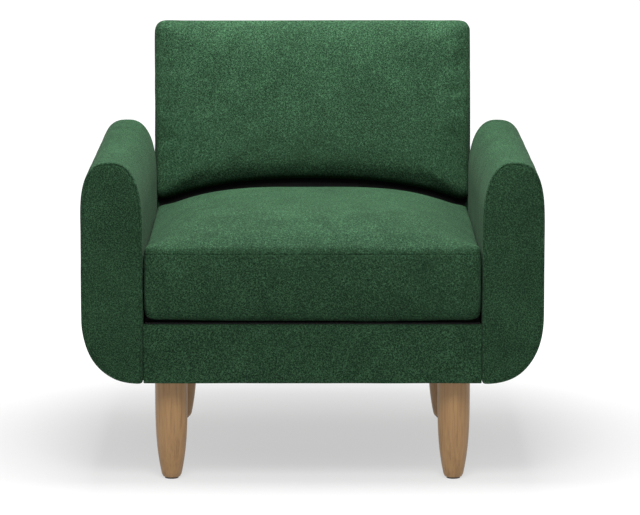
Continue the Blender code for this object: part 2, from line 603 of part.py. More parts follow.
def is_padded_edge(half, top):
    """Return a test for the back's rounded edges: the front ones, and the two that run back along the top."""
    def chosen(a, b):
        front = max(a.y, b.y) < SKIRT_FRONT_Y / 2 and min(a.z, b.z) > BACK_PAD_START - 0.01
        upright_front = front and abs(a.z - b.z) > BACK_FOAM
        top_edge = min(a.z, b.z) > top - NEAR and (front or abs(a.y - b.y) > BACK_EDGE)
        return upright_front or top_edge
    return chosen


def build_back_padding(parent_matrix):
    """Build the foam slab, the cover that wraps it and the panel that closes the rear."""
    foam_half = BACK_HALF - COVER - GAP
    foam_top = BACK_LENGTH - COVER - GAP
    foam = block_mesh((-foam_half, COVER + GAP, BACK_PAD_START + COVER + GAP),
                      (foam_half, COVER + GAP + BACK_FOAM, foam_top))
    round_edges(foam, is_padded_edge(foam_half, foam_top), BACK_EDGE - COVER / 2, 3)
    smooth(add_mesh("back_foam", foam, FOAM, parent_matrix))

    cover = bmesh.new()
    section = [(0, BACK_PAD_START), (0, BACK_LENGTH),
               (PAD_REAR_Y, BACK_LENGTH), (PAD_REAR_Y, BACK_SKIRT_START),
               (SKIRT_FRONT_Y, BACK_SKIRT_START), (SKIRT_FRONT_Y, BACK_PAD_START)]
    face = cover.faces.new([cover.verts.new((-BACK_HALF, y, z)) for y, z in section])
    moved = bmesh.ops.extrude_face_region(cover, geom=[face])["geom"]
    far = [item for item in moved if isinstance(item, bmesh.types.BMVert)]
    bmesh.ops.translate(cover, vec=(2 * BACK_HALF, 0, 0), verts=far)
    if not any(f.calc_center_median().x < -BACK_HALF + NEAR for f in cover.faces):
        cover.faces.new([v for v in cover.verts if v.co.x < -BACK_HALF + NEAR])
    round_edges(cover, is_padded_edge(BACK_HALF, BACK_LENGTH), BACK_EDGE, 3)
    for face in list(cover.faces):
        at = face.calc_center_median()
        rear = at.y > PAD_REAR_Y - NEAR
        under = at.z < BACK_SKIRT_START + NEAR
        skirt_front = abs(at.y - SKIRT_FRONT_Y) < NEAR and at.z < BACK_PAD_START
        if rear or under or skirt_front:
            cover.faces.remove(face)
    shell = add_mesh("back_cover", cover, GREEN_PILE, parent_matrix)
    solidify(shell, COVER)
    smooth(shell)

    half = BACK_HALF - PANEL_INSET
    low = (-half, PAD_REAR_Y - OUTSIDE_PANEL, BACK_SKIRT_START)
    high = (half, PAD_REAR_Y, BACK_LENGTH - PANEL_INSET)
    panel = block_mesh(low, high)
    round_edges(panel, lambda a, b: min(a.z, b.z) > high[2] - NEAR and abs(a.y - b.y) > NEAR, BACK_EDGE, 3)
    smooth(add_mesh("back_outside_panel", panel, GREEN_PILE, parent_matrix))


def build_brackets():
    """Build the steel angles between the rear rail and the back's uprights."""
    start_y = REAR_RAIL_FACE_Y + GAP
    for name, side in SIDES:
        outer = UPRIGHT_INNER - 2 * GAP
        shape = [(outer, start_y), (outer, start_y + BRACKET_LEG), (outer - BRACKET, start_y + BRACKET_LEG),
                 (outer - BRACKET, start_y + BRACKET), (outer - BRACKET_LEG, start_y + BRACKET),
                 (outer - BRACKET_LEG, start_y)]
        outline = [(side * x, y) for x, y in shape]
        matrix = Matrix.Translation((0, 0, SEAT_BOX_BOTTOM + BRACKET_ABOVE_BOX + BRACKET_HEIGHT / 2))
        add_board(f"back_bracket_{name}", [outline], BRACKET_HEIGHT, STEEL, matrix)


# --- Legs -------------------------------------------------------------------------------------------------
def leg_profile():
    """Return a leg's turned profile, from its bored top down its swelling side to the foot."""
    bore = STUD_RADIUS + BORE_CLEARANCE
    bottom = GLIDE_HEIGHT + GAP
    bore_bottom = LEG_TOP - STUD_IN_LEG - GAP
    points = [(0, bore_bottom), (bore, bore_bottom), (bore, LEG_TOP), (LEG_RADIUS, LEG_TOP)]
    for ring in range(LEG_RINGS):
        height = LEG_TAPER_HEIGHT * (1 - ring / LEG_RINGS) ** LEG_RING_POWER
        waist = (LEG_RADIUS - FOOT_RADIUS) * (1 - height / LEG_TAPER_HEIGHT) ** 3
        points.append((LEG_RADIUS - waist, height))
    points += [(FOOT_RADIUS, bottom + FOOT_ROUND), (FOOT_RADIUS - FOOT_ROUND, bottom), (0, bottom)]
    return points


def build_legs():
    """Build the four legs, each with the stud in its top and the glide under its foot."""
    for place, x, y in leg_places():
        matrix = Matrix.Translation((x, y, 0))
        add_turned(f"leg_{place}", leg_profile(), LEG_STEPS, LEG_WOOD, matrix)
        stud = [(0, LEG_TOP + STUD_IN_BLOCK), (STUD_RADIUS, LEG_TOP + STUD_IN_BLOCK),
                (STUD_RADIUS, LEG_TOP - STUD_IN_LEG), (0, LEG_TOP - STUD_IN_LEG)]
        add_turned(f"hanger_bolt_{place}", stud, 12, STEEL, matrix)
        glide = [(0, GLIDE_HEIGHT), (GLIDE_RADIUS, GLIDE_HEIGHT), (GLIDE_RADIUS, 0), (0, 0)]
        add_turned(f"glide_{place}", glide, 16, GLIDE_PLASTIC, matrix)


def main():
    """Build every piece of the chair."""
    build_seat_rails()
    build_corner_blocks()
    build_springs()
    build_seat_covers()
    build_arms()
    add_back_pieces(back_matrix())
    build_brackets()
    build_cushion()
    build_legs()


main()
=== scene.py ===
"""Looks of a single-seat upholstered armchair with turned wooden legs.

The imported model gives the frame, every place and every joint. This script dresses it: padded arms, back,
border and loose cushion in green chenille, turned oak legs, and the materials of the parts that show when the
cushion is lifted or the chair is turned over. Metres, +Z up, the chair faces -Y.
"""
import json
import logging
import math
from collections.abc import Iterable, Sequence
from dataclasses import dataclass
from enum import Enum

import bmesh
import bpy
from mathutils import Matrix, Vector, noise

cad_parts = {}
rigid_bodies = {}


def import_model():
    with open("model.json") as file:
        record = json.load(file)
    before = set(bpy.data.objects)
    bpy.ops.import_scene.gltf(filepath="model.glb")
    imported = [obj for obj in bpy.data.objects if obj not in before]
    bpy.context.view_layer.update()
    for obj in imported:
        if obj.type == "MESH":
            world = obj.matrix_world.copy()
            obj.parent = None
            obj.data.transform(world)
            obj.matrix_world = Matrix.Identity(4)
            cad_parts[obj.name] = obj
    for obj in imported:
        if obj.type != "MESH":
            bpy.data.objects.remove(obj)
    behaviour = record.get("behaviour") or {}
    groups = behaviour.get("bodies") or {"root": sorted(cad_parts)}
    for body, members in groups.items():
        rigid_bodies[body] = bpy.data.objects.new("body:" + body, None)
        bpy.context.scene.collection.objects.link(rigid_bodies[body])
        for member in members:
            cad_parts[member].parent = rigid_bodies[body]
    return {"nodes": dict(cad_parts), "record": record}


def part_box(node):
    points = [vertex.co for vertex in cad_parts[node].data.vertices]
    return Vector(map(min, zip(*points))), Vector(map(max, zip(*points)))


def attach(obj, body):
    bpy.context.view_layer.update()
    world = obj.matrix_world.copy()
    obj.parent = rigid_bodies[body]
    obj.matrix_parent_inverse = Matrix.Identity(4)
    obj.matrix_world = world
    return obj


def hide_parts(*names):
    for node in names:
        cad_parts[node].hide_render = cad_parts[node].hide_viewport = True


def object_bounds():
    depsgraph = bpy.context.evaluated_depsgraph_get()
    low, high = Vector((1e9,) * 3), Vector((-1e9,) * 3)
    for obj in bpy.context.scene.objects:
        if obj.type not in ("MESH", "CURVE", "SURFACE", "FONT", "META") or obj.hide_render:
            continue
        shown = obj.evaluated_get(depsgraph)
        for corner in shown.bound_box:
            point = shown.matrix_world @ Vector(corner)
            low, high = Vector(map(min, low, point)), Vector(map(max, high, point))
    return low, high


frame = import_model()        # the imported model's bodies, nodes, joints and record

CAD_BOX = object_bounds()
LOG = logging.getLogger("armchair")
MM = 0.001
Point = tuple[float, float]
Colour = tuple[float, float, float, float]
Socket = bpy.types.NodeSocket


class Side(Enum):
    """The chair's two sides, as the sign of X."""

    LEFT = -1
    RIGHT = 1


class Body(Enum):
    """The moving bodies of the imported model."""

    FRAME = "frame"
    CUSHION = "seat_cushion"
    SLIDER = "zip_slider"


# --- Materials ------------------------------------------------------------------------------------
def linear(hex_colour: str) -> Colour:
    """Turn an sRGB hex colour into a linear one.

    Args:
        hex_colour: six hex digits after a hash, such as "#3F6B4A".

    Returns:
        The linear red, green, blue and an alpha of 1.
    """
    parts = [int(hex_colour[i:i + 2], 16) / 255 for i in (1, 3, 5)]
    red, green, blue = [v / 12.92 if v <= 0.04045 else ((v + 0.055) / 1.055) ** 2.4 for v in parts]
    return red, green, blue, 1.0


def add_node(tree: bpy.types.NodeTree, kind: str, settings: dict | None = None,
             links: dict | None = None) -> bpy.types.Node:
    """Add one node with its settings and links.

    Args:
        tree: the material's or world's node tree.
        kind: the node's type name, without the part that every shader node's has.
        settings: values by property name, input name or input number, with a ramp's (place, hex) pairs
            under "stops".
        links: output sockets by the input name or number that they feed.

    Returns:
        The new node.
    """
    node = tree.nodes.new(f"ShaderNode{kind}")
    for key, value in (settings or {}).items():
        if key == "stops":
            ramp = node.color_ramp
            while len(ramp.elements) < len(value):
                ramp.elements.new(0.5)
            for element, (place, colour) in zip(ramp.elements, value):
                element.position = place
                element.color = linear(colour)
        elif isinstance(key, str) and hasattr(node, key):
            setattr(node, key, value)
        else:
            node.inputs[key].default_value = value
    for key, socket in (links or {}).items():
        tree.links.new(socket, node.inputs[key])
    return node


class Blend:
    """A material in the making: one Principled shader and what feeds it."""

    def __init__(self, name: str, settings: dict) -> None:
        """Start from a shader with constant settings.

        Args:
            name: the finish's name.
            settings: the shader's values by input name.
        """
        self.material = bpy.data.materials.new(name)
        self.material.use_nodes = True
        self.tree = self.material.node_tree
        self.tree.nodes.clear()
        self.shader = add_node(self.tree, "BsdfPrincipled", settings)
        add_node(self.tree, "OutputMaterial", links={"Surface": self.shader.outputs["BSDF"]})
        self.place = {"Vector": add_node(self.tree, "TexCoord").outputs["Object"]}

    def finish(self, colour: Socket, height: Socket, strength: float, depth_mm: float,
               rough: Socket | None = None) -> bpy.types.Material:
        """Feed the shader its colour, relief and roughness.

        Args:
            colour: what gives the colour.
            height: what gives the relief.
            strength: the relief's strength.
            depth_mm: the relief's real depth.
            rough: what gives the roughness, or None for a constant one.

        Returns:
            The finished material.
        """
        relief = add_node(self.tree, "Bump", {"Strength": strength, "Distance": depth_mm * MM},
                          {"Height": height})
        feeds = {"Base Color": colour, "Normal": relief.outputs["Normal"], "Roughness": rough}
        for name, socket in feeds.items():
            if socket:
                self.tree.links.new(socket, self.shader.inputs[name])
        return self.material


@dataclass(frozen=True)
class Chenille:
    """Short-pile chenille upholstery: dark green yarn with paler tufts, soft and matt."""

    name: str = "green_chenille"
    shade: str = "#08160C"
    ground: str = "#1A2F1F"
    tuft: str = "#36553D"
    sheen: str = "#C2EBC8"
    yarn_mm: float = 1.7
    slub_mm: float = 3.4
    brushed_mm: float = 75.0     # patches where the pile lies another way

    def make(self) -> bpy.types.Material:
        """Build the material: tufts on a ground, brushed patches, and a relief of yarn."""
        blend = Blend(self.name, {"Roughness": 0.9, "Specular IOR Level": 0.04, "Sheen Weight": 0.03,
                                  "Sheen Roughness": 0.5, "Sheen Tint": linear(self.sheen)})
        tree, place = blend.tree, blend.place
        yarn = add_node(tree, "TexNoise", {"Scale": 1000 / self.yarn_mm, "Detail": 3.0, "Roughness": 0.72},
                        place)
        slub = add_node(tree, "TexVoronoi", {"Scale": 1000 / self.slub_mm, "Randomness": 1.0}, place)
        grains = add_node(tree, "Math", {"operation": "MULTIPLY_ADD", 1: 0.22},
                          {0: slub.outputs["Distance"], 2: yarn.outputs["Fac"]})
        colour = add_node(tree, "ValToRGB", {
            "stops": [(0.40, self.shade), (0.58, self.ground), (0.80, self.tuft)]}, {"Fac": grains.outputs[0]})
        brushed = add_node(tree, "TexNoise", {"Scale": 1000 / self.brushed_mm, "Detail": 4.0, "Roughness": 0.55,
                                              "Distortion": 0.7}, place)
        patch = add_node(tree, "MapRange", {"From Min": 0.3, "From Max": 0.7, "To Min": 0.84, "To Max": 1.16},
                         {"Value": brushed.outputs["Fac"]})
        tone = add_node(tree, "Mix", {"data_type": "RGBA", "blend_type": "MULTIPLY", 0: 1.0},
                        {6: colour.outputs["Color"], 7: patch.outputs["Result"]})
        return blend.finish(tone.outputs[2], grains.outputs[0], 0.55, 0.7)


@dataclass(frozen=True)
class TurnedOak:
    """Turned oak with a clear satin lacquer: warm tan, with straight fine grain up the leg."""

    name: str = "lacquered_oak"
    pale: str = "#9D7A4F"
    mid: str = "#937047"
    dark: str = "#83623C"
    ring_mm: float = 4.5
    pore_mm: float = 0.9

    def make(self) -> bpy.types.Material:
        """Build the material: growth rings stretched along Z, fine pores, and a lacquer coat."""
        blend = Blend(self.name, {"Specular IOR Level": 0.4, "Coat Weight": 0.18, "Coat Roughness": 0.3,
                                  "IOR": 1.5})
        tree = blend.tree
        mapped = add_node(tree, "Mapping", {"Scale": (1.0, 1.0, 0.045)}, blend.place)
        along = {"Vector": mapped.outputs["Vector"]}
        rings = add_node(tree, "TexNoise", {"Scale": 1000 / self.ring_mm, "Detail": 4.0, "Roughness": 0.6,
                                            "Distortion": 0.4}, along)
        pores = add_node(tree, "TexNoise", {"Scale": 1000 / self.pore_mm, "Detail": 2.0}, along)
        fine = add_node(tree, "Math", {"operation": "MULTIPLY_ADD", 1: 0.3},
                        {0: pores.outputs["Fac"], 2: rings.outputs["Fac"]})
        colour = add_node(tree, "ValToRGB", {
            "stops": [(0.46, self.dark), (0.62, self.mid), (0.84, self.pale)]}, {"Fac": fine.outputs[0]})
        rough = add_node(tree, "MapRange", {"To Min": 0.42, "To Max": 0.56}, {"Value": pores.outputs["Fac"]})
        return blend.finish(colour.outputs["Color"], fine.outputs[0], 0.25, 0.15, rough.outputs["Result"])


@dataclass(frozen=True)
class SawnBoard:
    """Sawn pine and plywood of the hidden frame: pale, dry and unpolished, with wide grain along one axis."""

    name: str = "sawn_pine"
    pale: str = "#D9BE8E"
    dark: str = "#B8925C"
    grain_mm: float = 7.0

    def make(self) -> bpy.types.Material:
        """Build the material: grain along X with a rough sawn relief."""
        blend = Blend(self.name, {"Roughness": 0.82, "Specular IOR Level": 0.25})
        along = add_node(blend.tree, "Mapping", {"Scale": (0.08, 1.0, 1.0)}, blend.place)
        grain = add_node(blend.tree, "TexNoise", {"Scale": 1000 / self.grain_mm, "Detail": 5.0, "Distortion": 0.6},
                         {"Vector": along.outputs["Vector"]})
        colour = add_node(blend.tree, "ValToRGB", {"stops": [(0.35, self.dark), (0.65, self.pale)]},
                          {"Fac": grain.outputs["Fac"]})
        return blend.finish(colour.outputs["Color"], grain.outputs["Fac"], 0.4, 0.3)


@dataclass(frozen=True)
class PlainCloth:
    """A flat woven or bonded cloth: crossed threads with dark gaps between them."""

    name: str
    thread: str
    gap: str
    thread_mm: float
    rough: float = 0.85
    sheen: float = 0.1

    def make(self) -> bpy.types.Material:
        """Build the material: two crossed thread waves that set the colour and the relief."""
        blend = Blend(self.name, {"Roughness": self.rough, "Specular IOR Level": 0.25,
                                  "Sheen Weight": self.sheen})
        tree = blend.tree
        turns = 1000 / self.thread_mm / (2 * math.pi)
        warp, weft = (add_node(tree, "TexWave", {"Scale": turns, "Distortion": 0.6, "bands_direction": way},
                               blend.place) for way in "XY")
        cross = add_node(tree, "Math", {"operation": "MULTIPLY"},
                         {0: warp.outputs["Fac"], 1: weft.outputs["Fac"]})
        wear = add_node(tree, "TexNoise", {"Scale": 60.0, "Detail": 3.0}, blend.place)
        mixed = add_node(tree, "Math", {"operation": "MULTIPLY_ADD", 1: 0.5},
                         {0: cross.outputs[0], 2: wear.outputs["Fac"]})
        colour = add_node(tree, "ValToRGB", {"stops": [(0.4, self.gap), (0.9, self.thread)]},
                          {"Fac": mixed.outputs[0]})
        return blend.finish(colour.outputs["Color"], cross.outputs[0], 0.5, 0.25)


@dataclass(frozen=True)
class Speckled:
    """A moulded, cast or plated surface: one colour with faint mottling and a fine relief."""

    name: str
    colour: str
    second: str
    grain_mm: float
    rough_low: float
    rough_high: float
    metallic: float = 0.0
    relief_mm: float = 0.05

    def make(self) -> bpy.types.Material:
        """Build the material: noise that moves the colour, the roughness and the relief."""
        blend = Blend(self.name, {"Metallic": self.metallic})
        grain = add_node(blend.tree, "TexNoise", {"Scale": 1000 / self.grain_mm, "Detail": 4.0}, blend.place)
        colour = add_node(blend.tree, "ValToRGB", {"stops": [(0.35, self.second), (0.65, self.colour)]},
                          {"Fac": grain.outputs["Fac"]})
        rough = add_node(blend.tree, "MapRange", {"To Min": self.rough_low, "To Max": self.rough_high},
                         {"Value": grain.outputs["Fac"]})
        return blend.finish(colour.outputs["Color"], grain.outputs["Fac"], 0.3, self.relief_mm,
                            rough.outputs["Result"])


class Wardrobe:
    """Every finish of the chair, each made once."""

    def __init__(self) -> None:
        """Make the materials."""
        self.chenille = Chenille().make()
        self.oak = TurnedOak().make()
        self.pine = SawnBoard().make()
        # Polyurethane foam: pale yellow, open cells, no shine.
        self.foam = Speckled("polyurethane_foam", "#E6D9A8", "#D4C48C", 1.2, 0.95, 1.0, relief_mm=0.5).make()
        # Needled felt: grey recycled fibre, matt.
        self.felt = Speckled("needled_felt", "#6E6C69", "#4A4948", 2.5, 0.95, 1.0, relief_mm=0.6).make()
        # Woven polypropylene platform cloth: near-black crossed tapes, darkened towards pure black so that the
        # gaps where it shows read as shade: partly the cloth's own black, partly painted shade.
        self.platform = PlainCloth("woven_platform_cloth_and_painted_shade", "#0B0B0C", "#030303", 2.2, sheen=0.03).make()
        # Bonded non-woven under the seat: thin black fleece with a fine pressed grid.
        self.nonwoven = PlainCloth("bonded_nonwoven", "#2B2B2D", "#141415", 1.6, 0.95, 0.2).make()
        # Zinc-plated steel: cool grey with a slight frost.
        self.steel = Speckled("zinc_plated_steel", "#C9CBCE", "#A9ABAF", 3.0, 0.28, 0.42, 1.0).make()
        # Woven polyester tape of the zip, dyed to match.
        self.tape = PlainCloth("polyester_zip_tape", "#3C5C43", "#1E3324", 0.9, 0.7).make()
        # Moulded nylon zip teeth: dark green and slightly glossy.
        self.nylon = Speckled("moulded_nylon", "#2C4532", "#243A2A", 1.0, 0.35, 0.45).make()
        # Moulded polyethylene glides: dark brown, waxy.
        self.glide = Speckled("moulded_polyethylene", "#3B332B", "#302A24", 1.5, 0.5, 0.62).make()


# --- Bench tools ----------------------------------------------------------------------------------
def deselect_all() -> None:
    """Leave nothing selected and nothing active."""
    for thing in bpy.context.view_layer.objects:
        thing.select_set(False)


def select_only(piece: bpy.types.Object) -> None:
    """Make one piece the only selected and the active one."""
    deselect_all()
    piece.select_set(True)
    bpy.context.view_layer.objects.active = piece


def make_block(name: str, low: Sequence[float], high: Sequence[float]) -> bpy.types.Object:
    """Make a plain block between two corners, left active with its origin at the chair's.

    Args:
        name: the piece's name.
        low: its lowest corner.
        high: its highest corner.

    Returns:
        The new piece.
    """
    deselect_all()
    bpy.ops.mesh.primitive_cube_add(size=1.0, location=(0.0, 0.0, 0.0))
    piece = bpy.context.object
    piece.name = name
    low, high = Vector(low), Vector(high)
    piece.data.transform(Matrix.Translation((low + high) / 2) @ Matrix.Diagonal((*(high - low), 1.0)))
    return piece


def subdivide(cuts: int) -> None:
    """Cut every face of the active piece evenly."""
    bpy.ops.object.mode_set(mode="EDIT")
    bpy.ops.mesh.select_all(action="SELECT")
    bpy.ops.mesh.subdivide(number_cuts=cuts)
    bpy.ops.object.mode_set(mode="OBJECT")


def add_brick(bm: bmesh.types.BMesh, place: Matrix, size: Sequence[float]) -> None:
    """Add one small block of a given size to a shape, placed by a matrix."""
    made = bmesh.ops.create_cube(bm, size=1.0)["verts"]
    bmesh.ops.transform(bm, matrix=place @ Matrix.Diagonal((*size, 1.0)), verts=made)


def link_mesh(name: str, bm: bmesh.types.BMesh) -> bpy.types.Object:
    """Turn a bmesh into a named piece at the origin and free the bmesh.

    Args:
        name: the piece's name.
        bm: the shape, in the chair's frame.

    Returns:
        The new piece.
    """
    mesh = bpy.data.meshes.new(name)
    bm.to_mesh(mesh)
    bm.free()
    piece = bpy.data.objects.new(name, mesh)
    bpy.context.scene.collection.objects.link(piece)
    return piece


def apply_modifier(piece: bpy.types.Object, kind: str, **settings: object) -> None:
    """Add one modifier to a piece and apply it.

    Args:
        piece: the piece.
        kind: the modifier's type.
        **settings: its values by property name.
    """
    select_only(piece)
    modifier = piece.modifiers.new(kind.lower(), kind)
    for key, value in settings.items():
        setattr(modifier, key, value)
    bpy.ops.object.modifier_apply(modifier=modifier.name)


def shade(piece: bpy.types.Object, angle_deg: float = 180.0) -> None:
    """Shade a piece smooth, with corners sharper than an angle left crisp."""
    select_only(piece)
    bpy.ops.object.shade_smooth_by_angle(angle=math.radians(angle_deg))


def dress(piece: bpy.types.Object, material: bpy.types.Material, body: Body) -> None:
    """Give a finished piece its material and the body that it rides on.

    Args:
        piece: the finished piece.
        material: its finish.
        body: the moving body.
    """
    piece.data.materials.clear()
    piece.data.materials.append(material)
    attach(piece, body.value)
    LOG.info("%s: %d faces, rides on %s", piece.name, len(piece.data.polygons), body.value)


def clamp(share: float) -> float:
    """Keep a share between 0 and 1."""
    return min(max(share, 0.0), 1.0)


def ease(share: float) -> float:
    """Clamp a share and smooth it, level at both ends."""
    share = clamp(share)
    return share * share * (3 - 2 * share)


def arc(centre: Sequence[float], radius: float, start: float, turn: float, steps: int) -> list[Point]:
    """Return an arc's points.

    Args:
        centre: the arc's centre.
        radius: its radius.
        start: where it starts, in degrees.
        turn: how far it turns, in degrees.
        steps: how many straight pieces it has.

    Returns:
        One point more than there are pieces.
    """
    angles = [math.radians(start + turn * step / steps) for step in range(steps + 1)]
    return [(centre[0] + radius * math.cos(angle), centre[1] + radius * math.sin(angle)) for angle in angles]


def resample(points: Sequence[Point], count: int) -> list[Point]:
    """Space points evenly round a closed outline.

    Args:
        points: the outline's corners, without a repeated last point.
        count: how many points to return.

    Returns:
        The evenly spaced points.
    """
    closed = [Vector(p) for p in points] + [Vector(points[0])]
    lengths = [0.0]
    for a, b in zip(closed, closed[1:]):
        lengths.append(lengths[-1] + (b - a).length)
    result, at = [], 0
    for step in range(count):
        goal = lengths[-1] * step / count
        while lengths[at + 1] < goal:
            at += 1
        share = (goal - lengths[at]) / max(lengths[at + 1] - lengths[at], 1e-9)
        spot = closed[at].lerp(closed[at + 1], share)
        result.append((spot.x, spot.y))
    return result


def shrink(points: Sequence[Point], inset: float) -> list[Point]:
    """Move a counter-clockwise closed outline inward along its normals.

    Args:
        points: evenly spaced points of the outline.
        inset: how far to move, in metres.

    Returns:
        The moved points.
    """
    result = []
    for before, here, after in zip(points[-1:] + points[:-1], points, points[1:] + points[:1]):
        along = (Vector(after) - Vector(before)).normalized()
        result.append((here[0] - along.y * inset, here[1] + along.x * inset))
    return result


def skin(name: str, rings: Sequence[Sequence[Vector]]) -> bpy.types.Object:
    """Join equal rings of points into a closed surface, whose first and last rings collapse to a line.

    Args:
        name: the piece's name.
        rings: the rings in order, each with the same number of points.

    Returns:
        The new piece, with its faces' normals outward.
    """
    bm = bmesh.new()
    rows = [[bm.verts.new(point) for point in ring] for ring in rings]
    for low, high in zip(rows, rows[1:]):
        for i, vert in enumerate(low):
            j = (i + 1) % len(low)
            bm.faces.new((vert, low[j], high[j], high[i]))
    bmesh.ops.remove_doubles(bm, verts=bm.verts, dist=0.1 * MM)
    bmesh.ops.dissolve_degenerate(bm, dist=0.01 * MM, edges=bm.edges)
    bmesh.ops.recalc_face_normals(bm, faces=bm.faces)
    return link_mesh(name, bm)


def ripple(piece: bpy.types.Object, height: float, wave: float, seed: float) -> None:
    """Move a soft piece's points a little along their normals, as padding under cloth does.

    Args:
        piece: the piece.
        height: the largest move, in metres.
        wave: the size of the swells, in metres.
        seed: shifts the pattern so that pieces differ.
    """
    normals = [vert.normal.copy() for vert in piece.data.vertices]
    for vert, normal in zip(piece.data.vertices, normals):
        vert.co += normal * height * noise.noise(vert.co / wave + Vector((seed, seed * 0.7, seed * 1.3)))


@dataclass(frozen=True)
class Puff:
    """How a cushion is blown up by the cloth solver."""

    voxel: float = 0.006
    pressure: float = 4.0
    cap: float = 0.008
    spread: tuple[float, float, float] = (1.0, 1.0, 1.0)   # how much of the swelling stays, by axis
    frames: int = 20

    def run(self, piece: bpy.types.Object) -> None:
        """Remesh a closed piece evenly, inflate it, and keep each point within the cap.

        Args:
            piece: the closed piece. Its mesh is replaced by the inflated one.
        """
        apply_modifier(piece, "REMESH", mode="VOXEL", voxel_size=self.voxel, adaptivity=0.0)
        apply_modifier(piece, "SMOOTH", factor=0.5, iterations=2)
        cloth = piece.modifiers.new("cloth", "CLOTH")
        settings = {"quality": 5, "mass": 0.3, "tension_stiffness": 15.0, "compression_stiffness": 15.0,
                    "bending_stiffness": 0.8, "use_pressure": True, "uniform_pressure_force": self.pressure}
        for key, value in settings.items():
            setattr(cloth.settings, key, value)
        cloth.settings.effector_weights.gravity = 0.0
        cloth.collision_settings.use_collision = False
        cloth.point_cache.frame_start = 1
        cloth.point_cache.frame_end = self.frames
        rest = [vert.co.copy() for vert in piece.data.vertices]
        for step in range(1, self.frames + 1):
            bpy.context.scene.frame_set(step)
        graph = bpy.context.evaluated_depsgraph_get()
        moved = [vert.co.copy() for vert in piece.evaluated_get(graph).data.vertices]
        piece.modifiers.remove(cloth)
        bpy.context.scene.frame_set(1)
        for vert, start, end in zip(piece.data.vertices, rest, moved):
            step_out = end - start
            reach = step_out.length
            if reach > 0:
                step_out *= self.cap * math.tanh(reach / self.cap) / reach
            vert.co = start + step_out * Vector(self.spread)


def fit_box(piece: bpy.types.Object, low: Sequence[float | None], high: Sequence[float | None]) -> None:
    """Stretch a soft piece so that its box reaches given sides.

    Args:
        piece: the piece.
        low: the wanted lowest corner, with None for a side that is left alone.
        high: the wanted highest corner, in the same way.
    """
    for axis in range(3):
        values = [vert.co[axis] for vert in piece.data.vertices]
        start, end = min(values), max(values)
        goal_start = start if low[axis] is None else low[axis]
        goal_end = end if high[axis] is None else high[axis]
        stretch = (goal_end - goal_start) / (end - start)
        for vert in piece.data.vertices:
            vert.co[axis] = goal_start + (vert.co[axis] - start) * stretch


def cut_seam(piece: bpy.types.Object, origin: Vector, normal: Vector, depth: float, width: float) -> None:
    """Press a sewn seam into a piece where a plane crosses it.

    Args:
        piece: the piece.
        origin: a point on the seam's plane.
        normal: the plane's normal.
        depth: how deep the seam lies, in metres.
        width: the seam's width, in metres.
    """
    bm = bmesh.new()
    bm.from_mesh(piece.data)
    for share in (-1.0, -0.45, 0.0, 0.45, 1.0):
        everything = bm.verts[:] + bm.edges[:] + bm.faces[:]
        bmesh.ops.bisect_plane(bm, geom=everything, plane_co=origin + normal * width * share, plane_no=normal,
                               dist=0.02 * MM)
    bm.normal_update()
    for vert in bm.verts:
        away = abs((vert.co - origin).dot(normal)) / width
        if away < 0.98:
            inward = vert.normal - normal * vert.normal.dot(normal)
            vert.co -= inward * depth * (1 - away * away)
    bm.to_mesh(piece.data)
    bm.free()


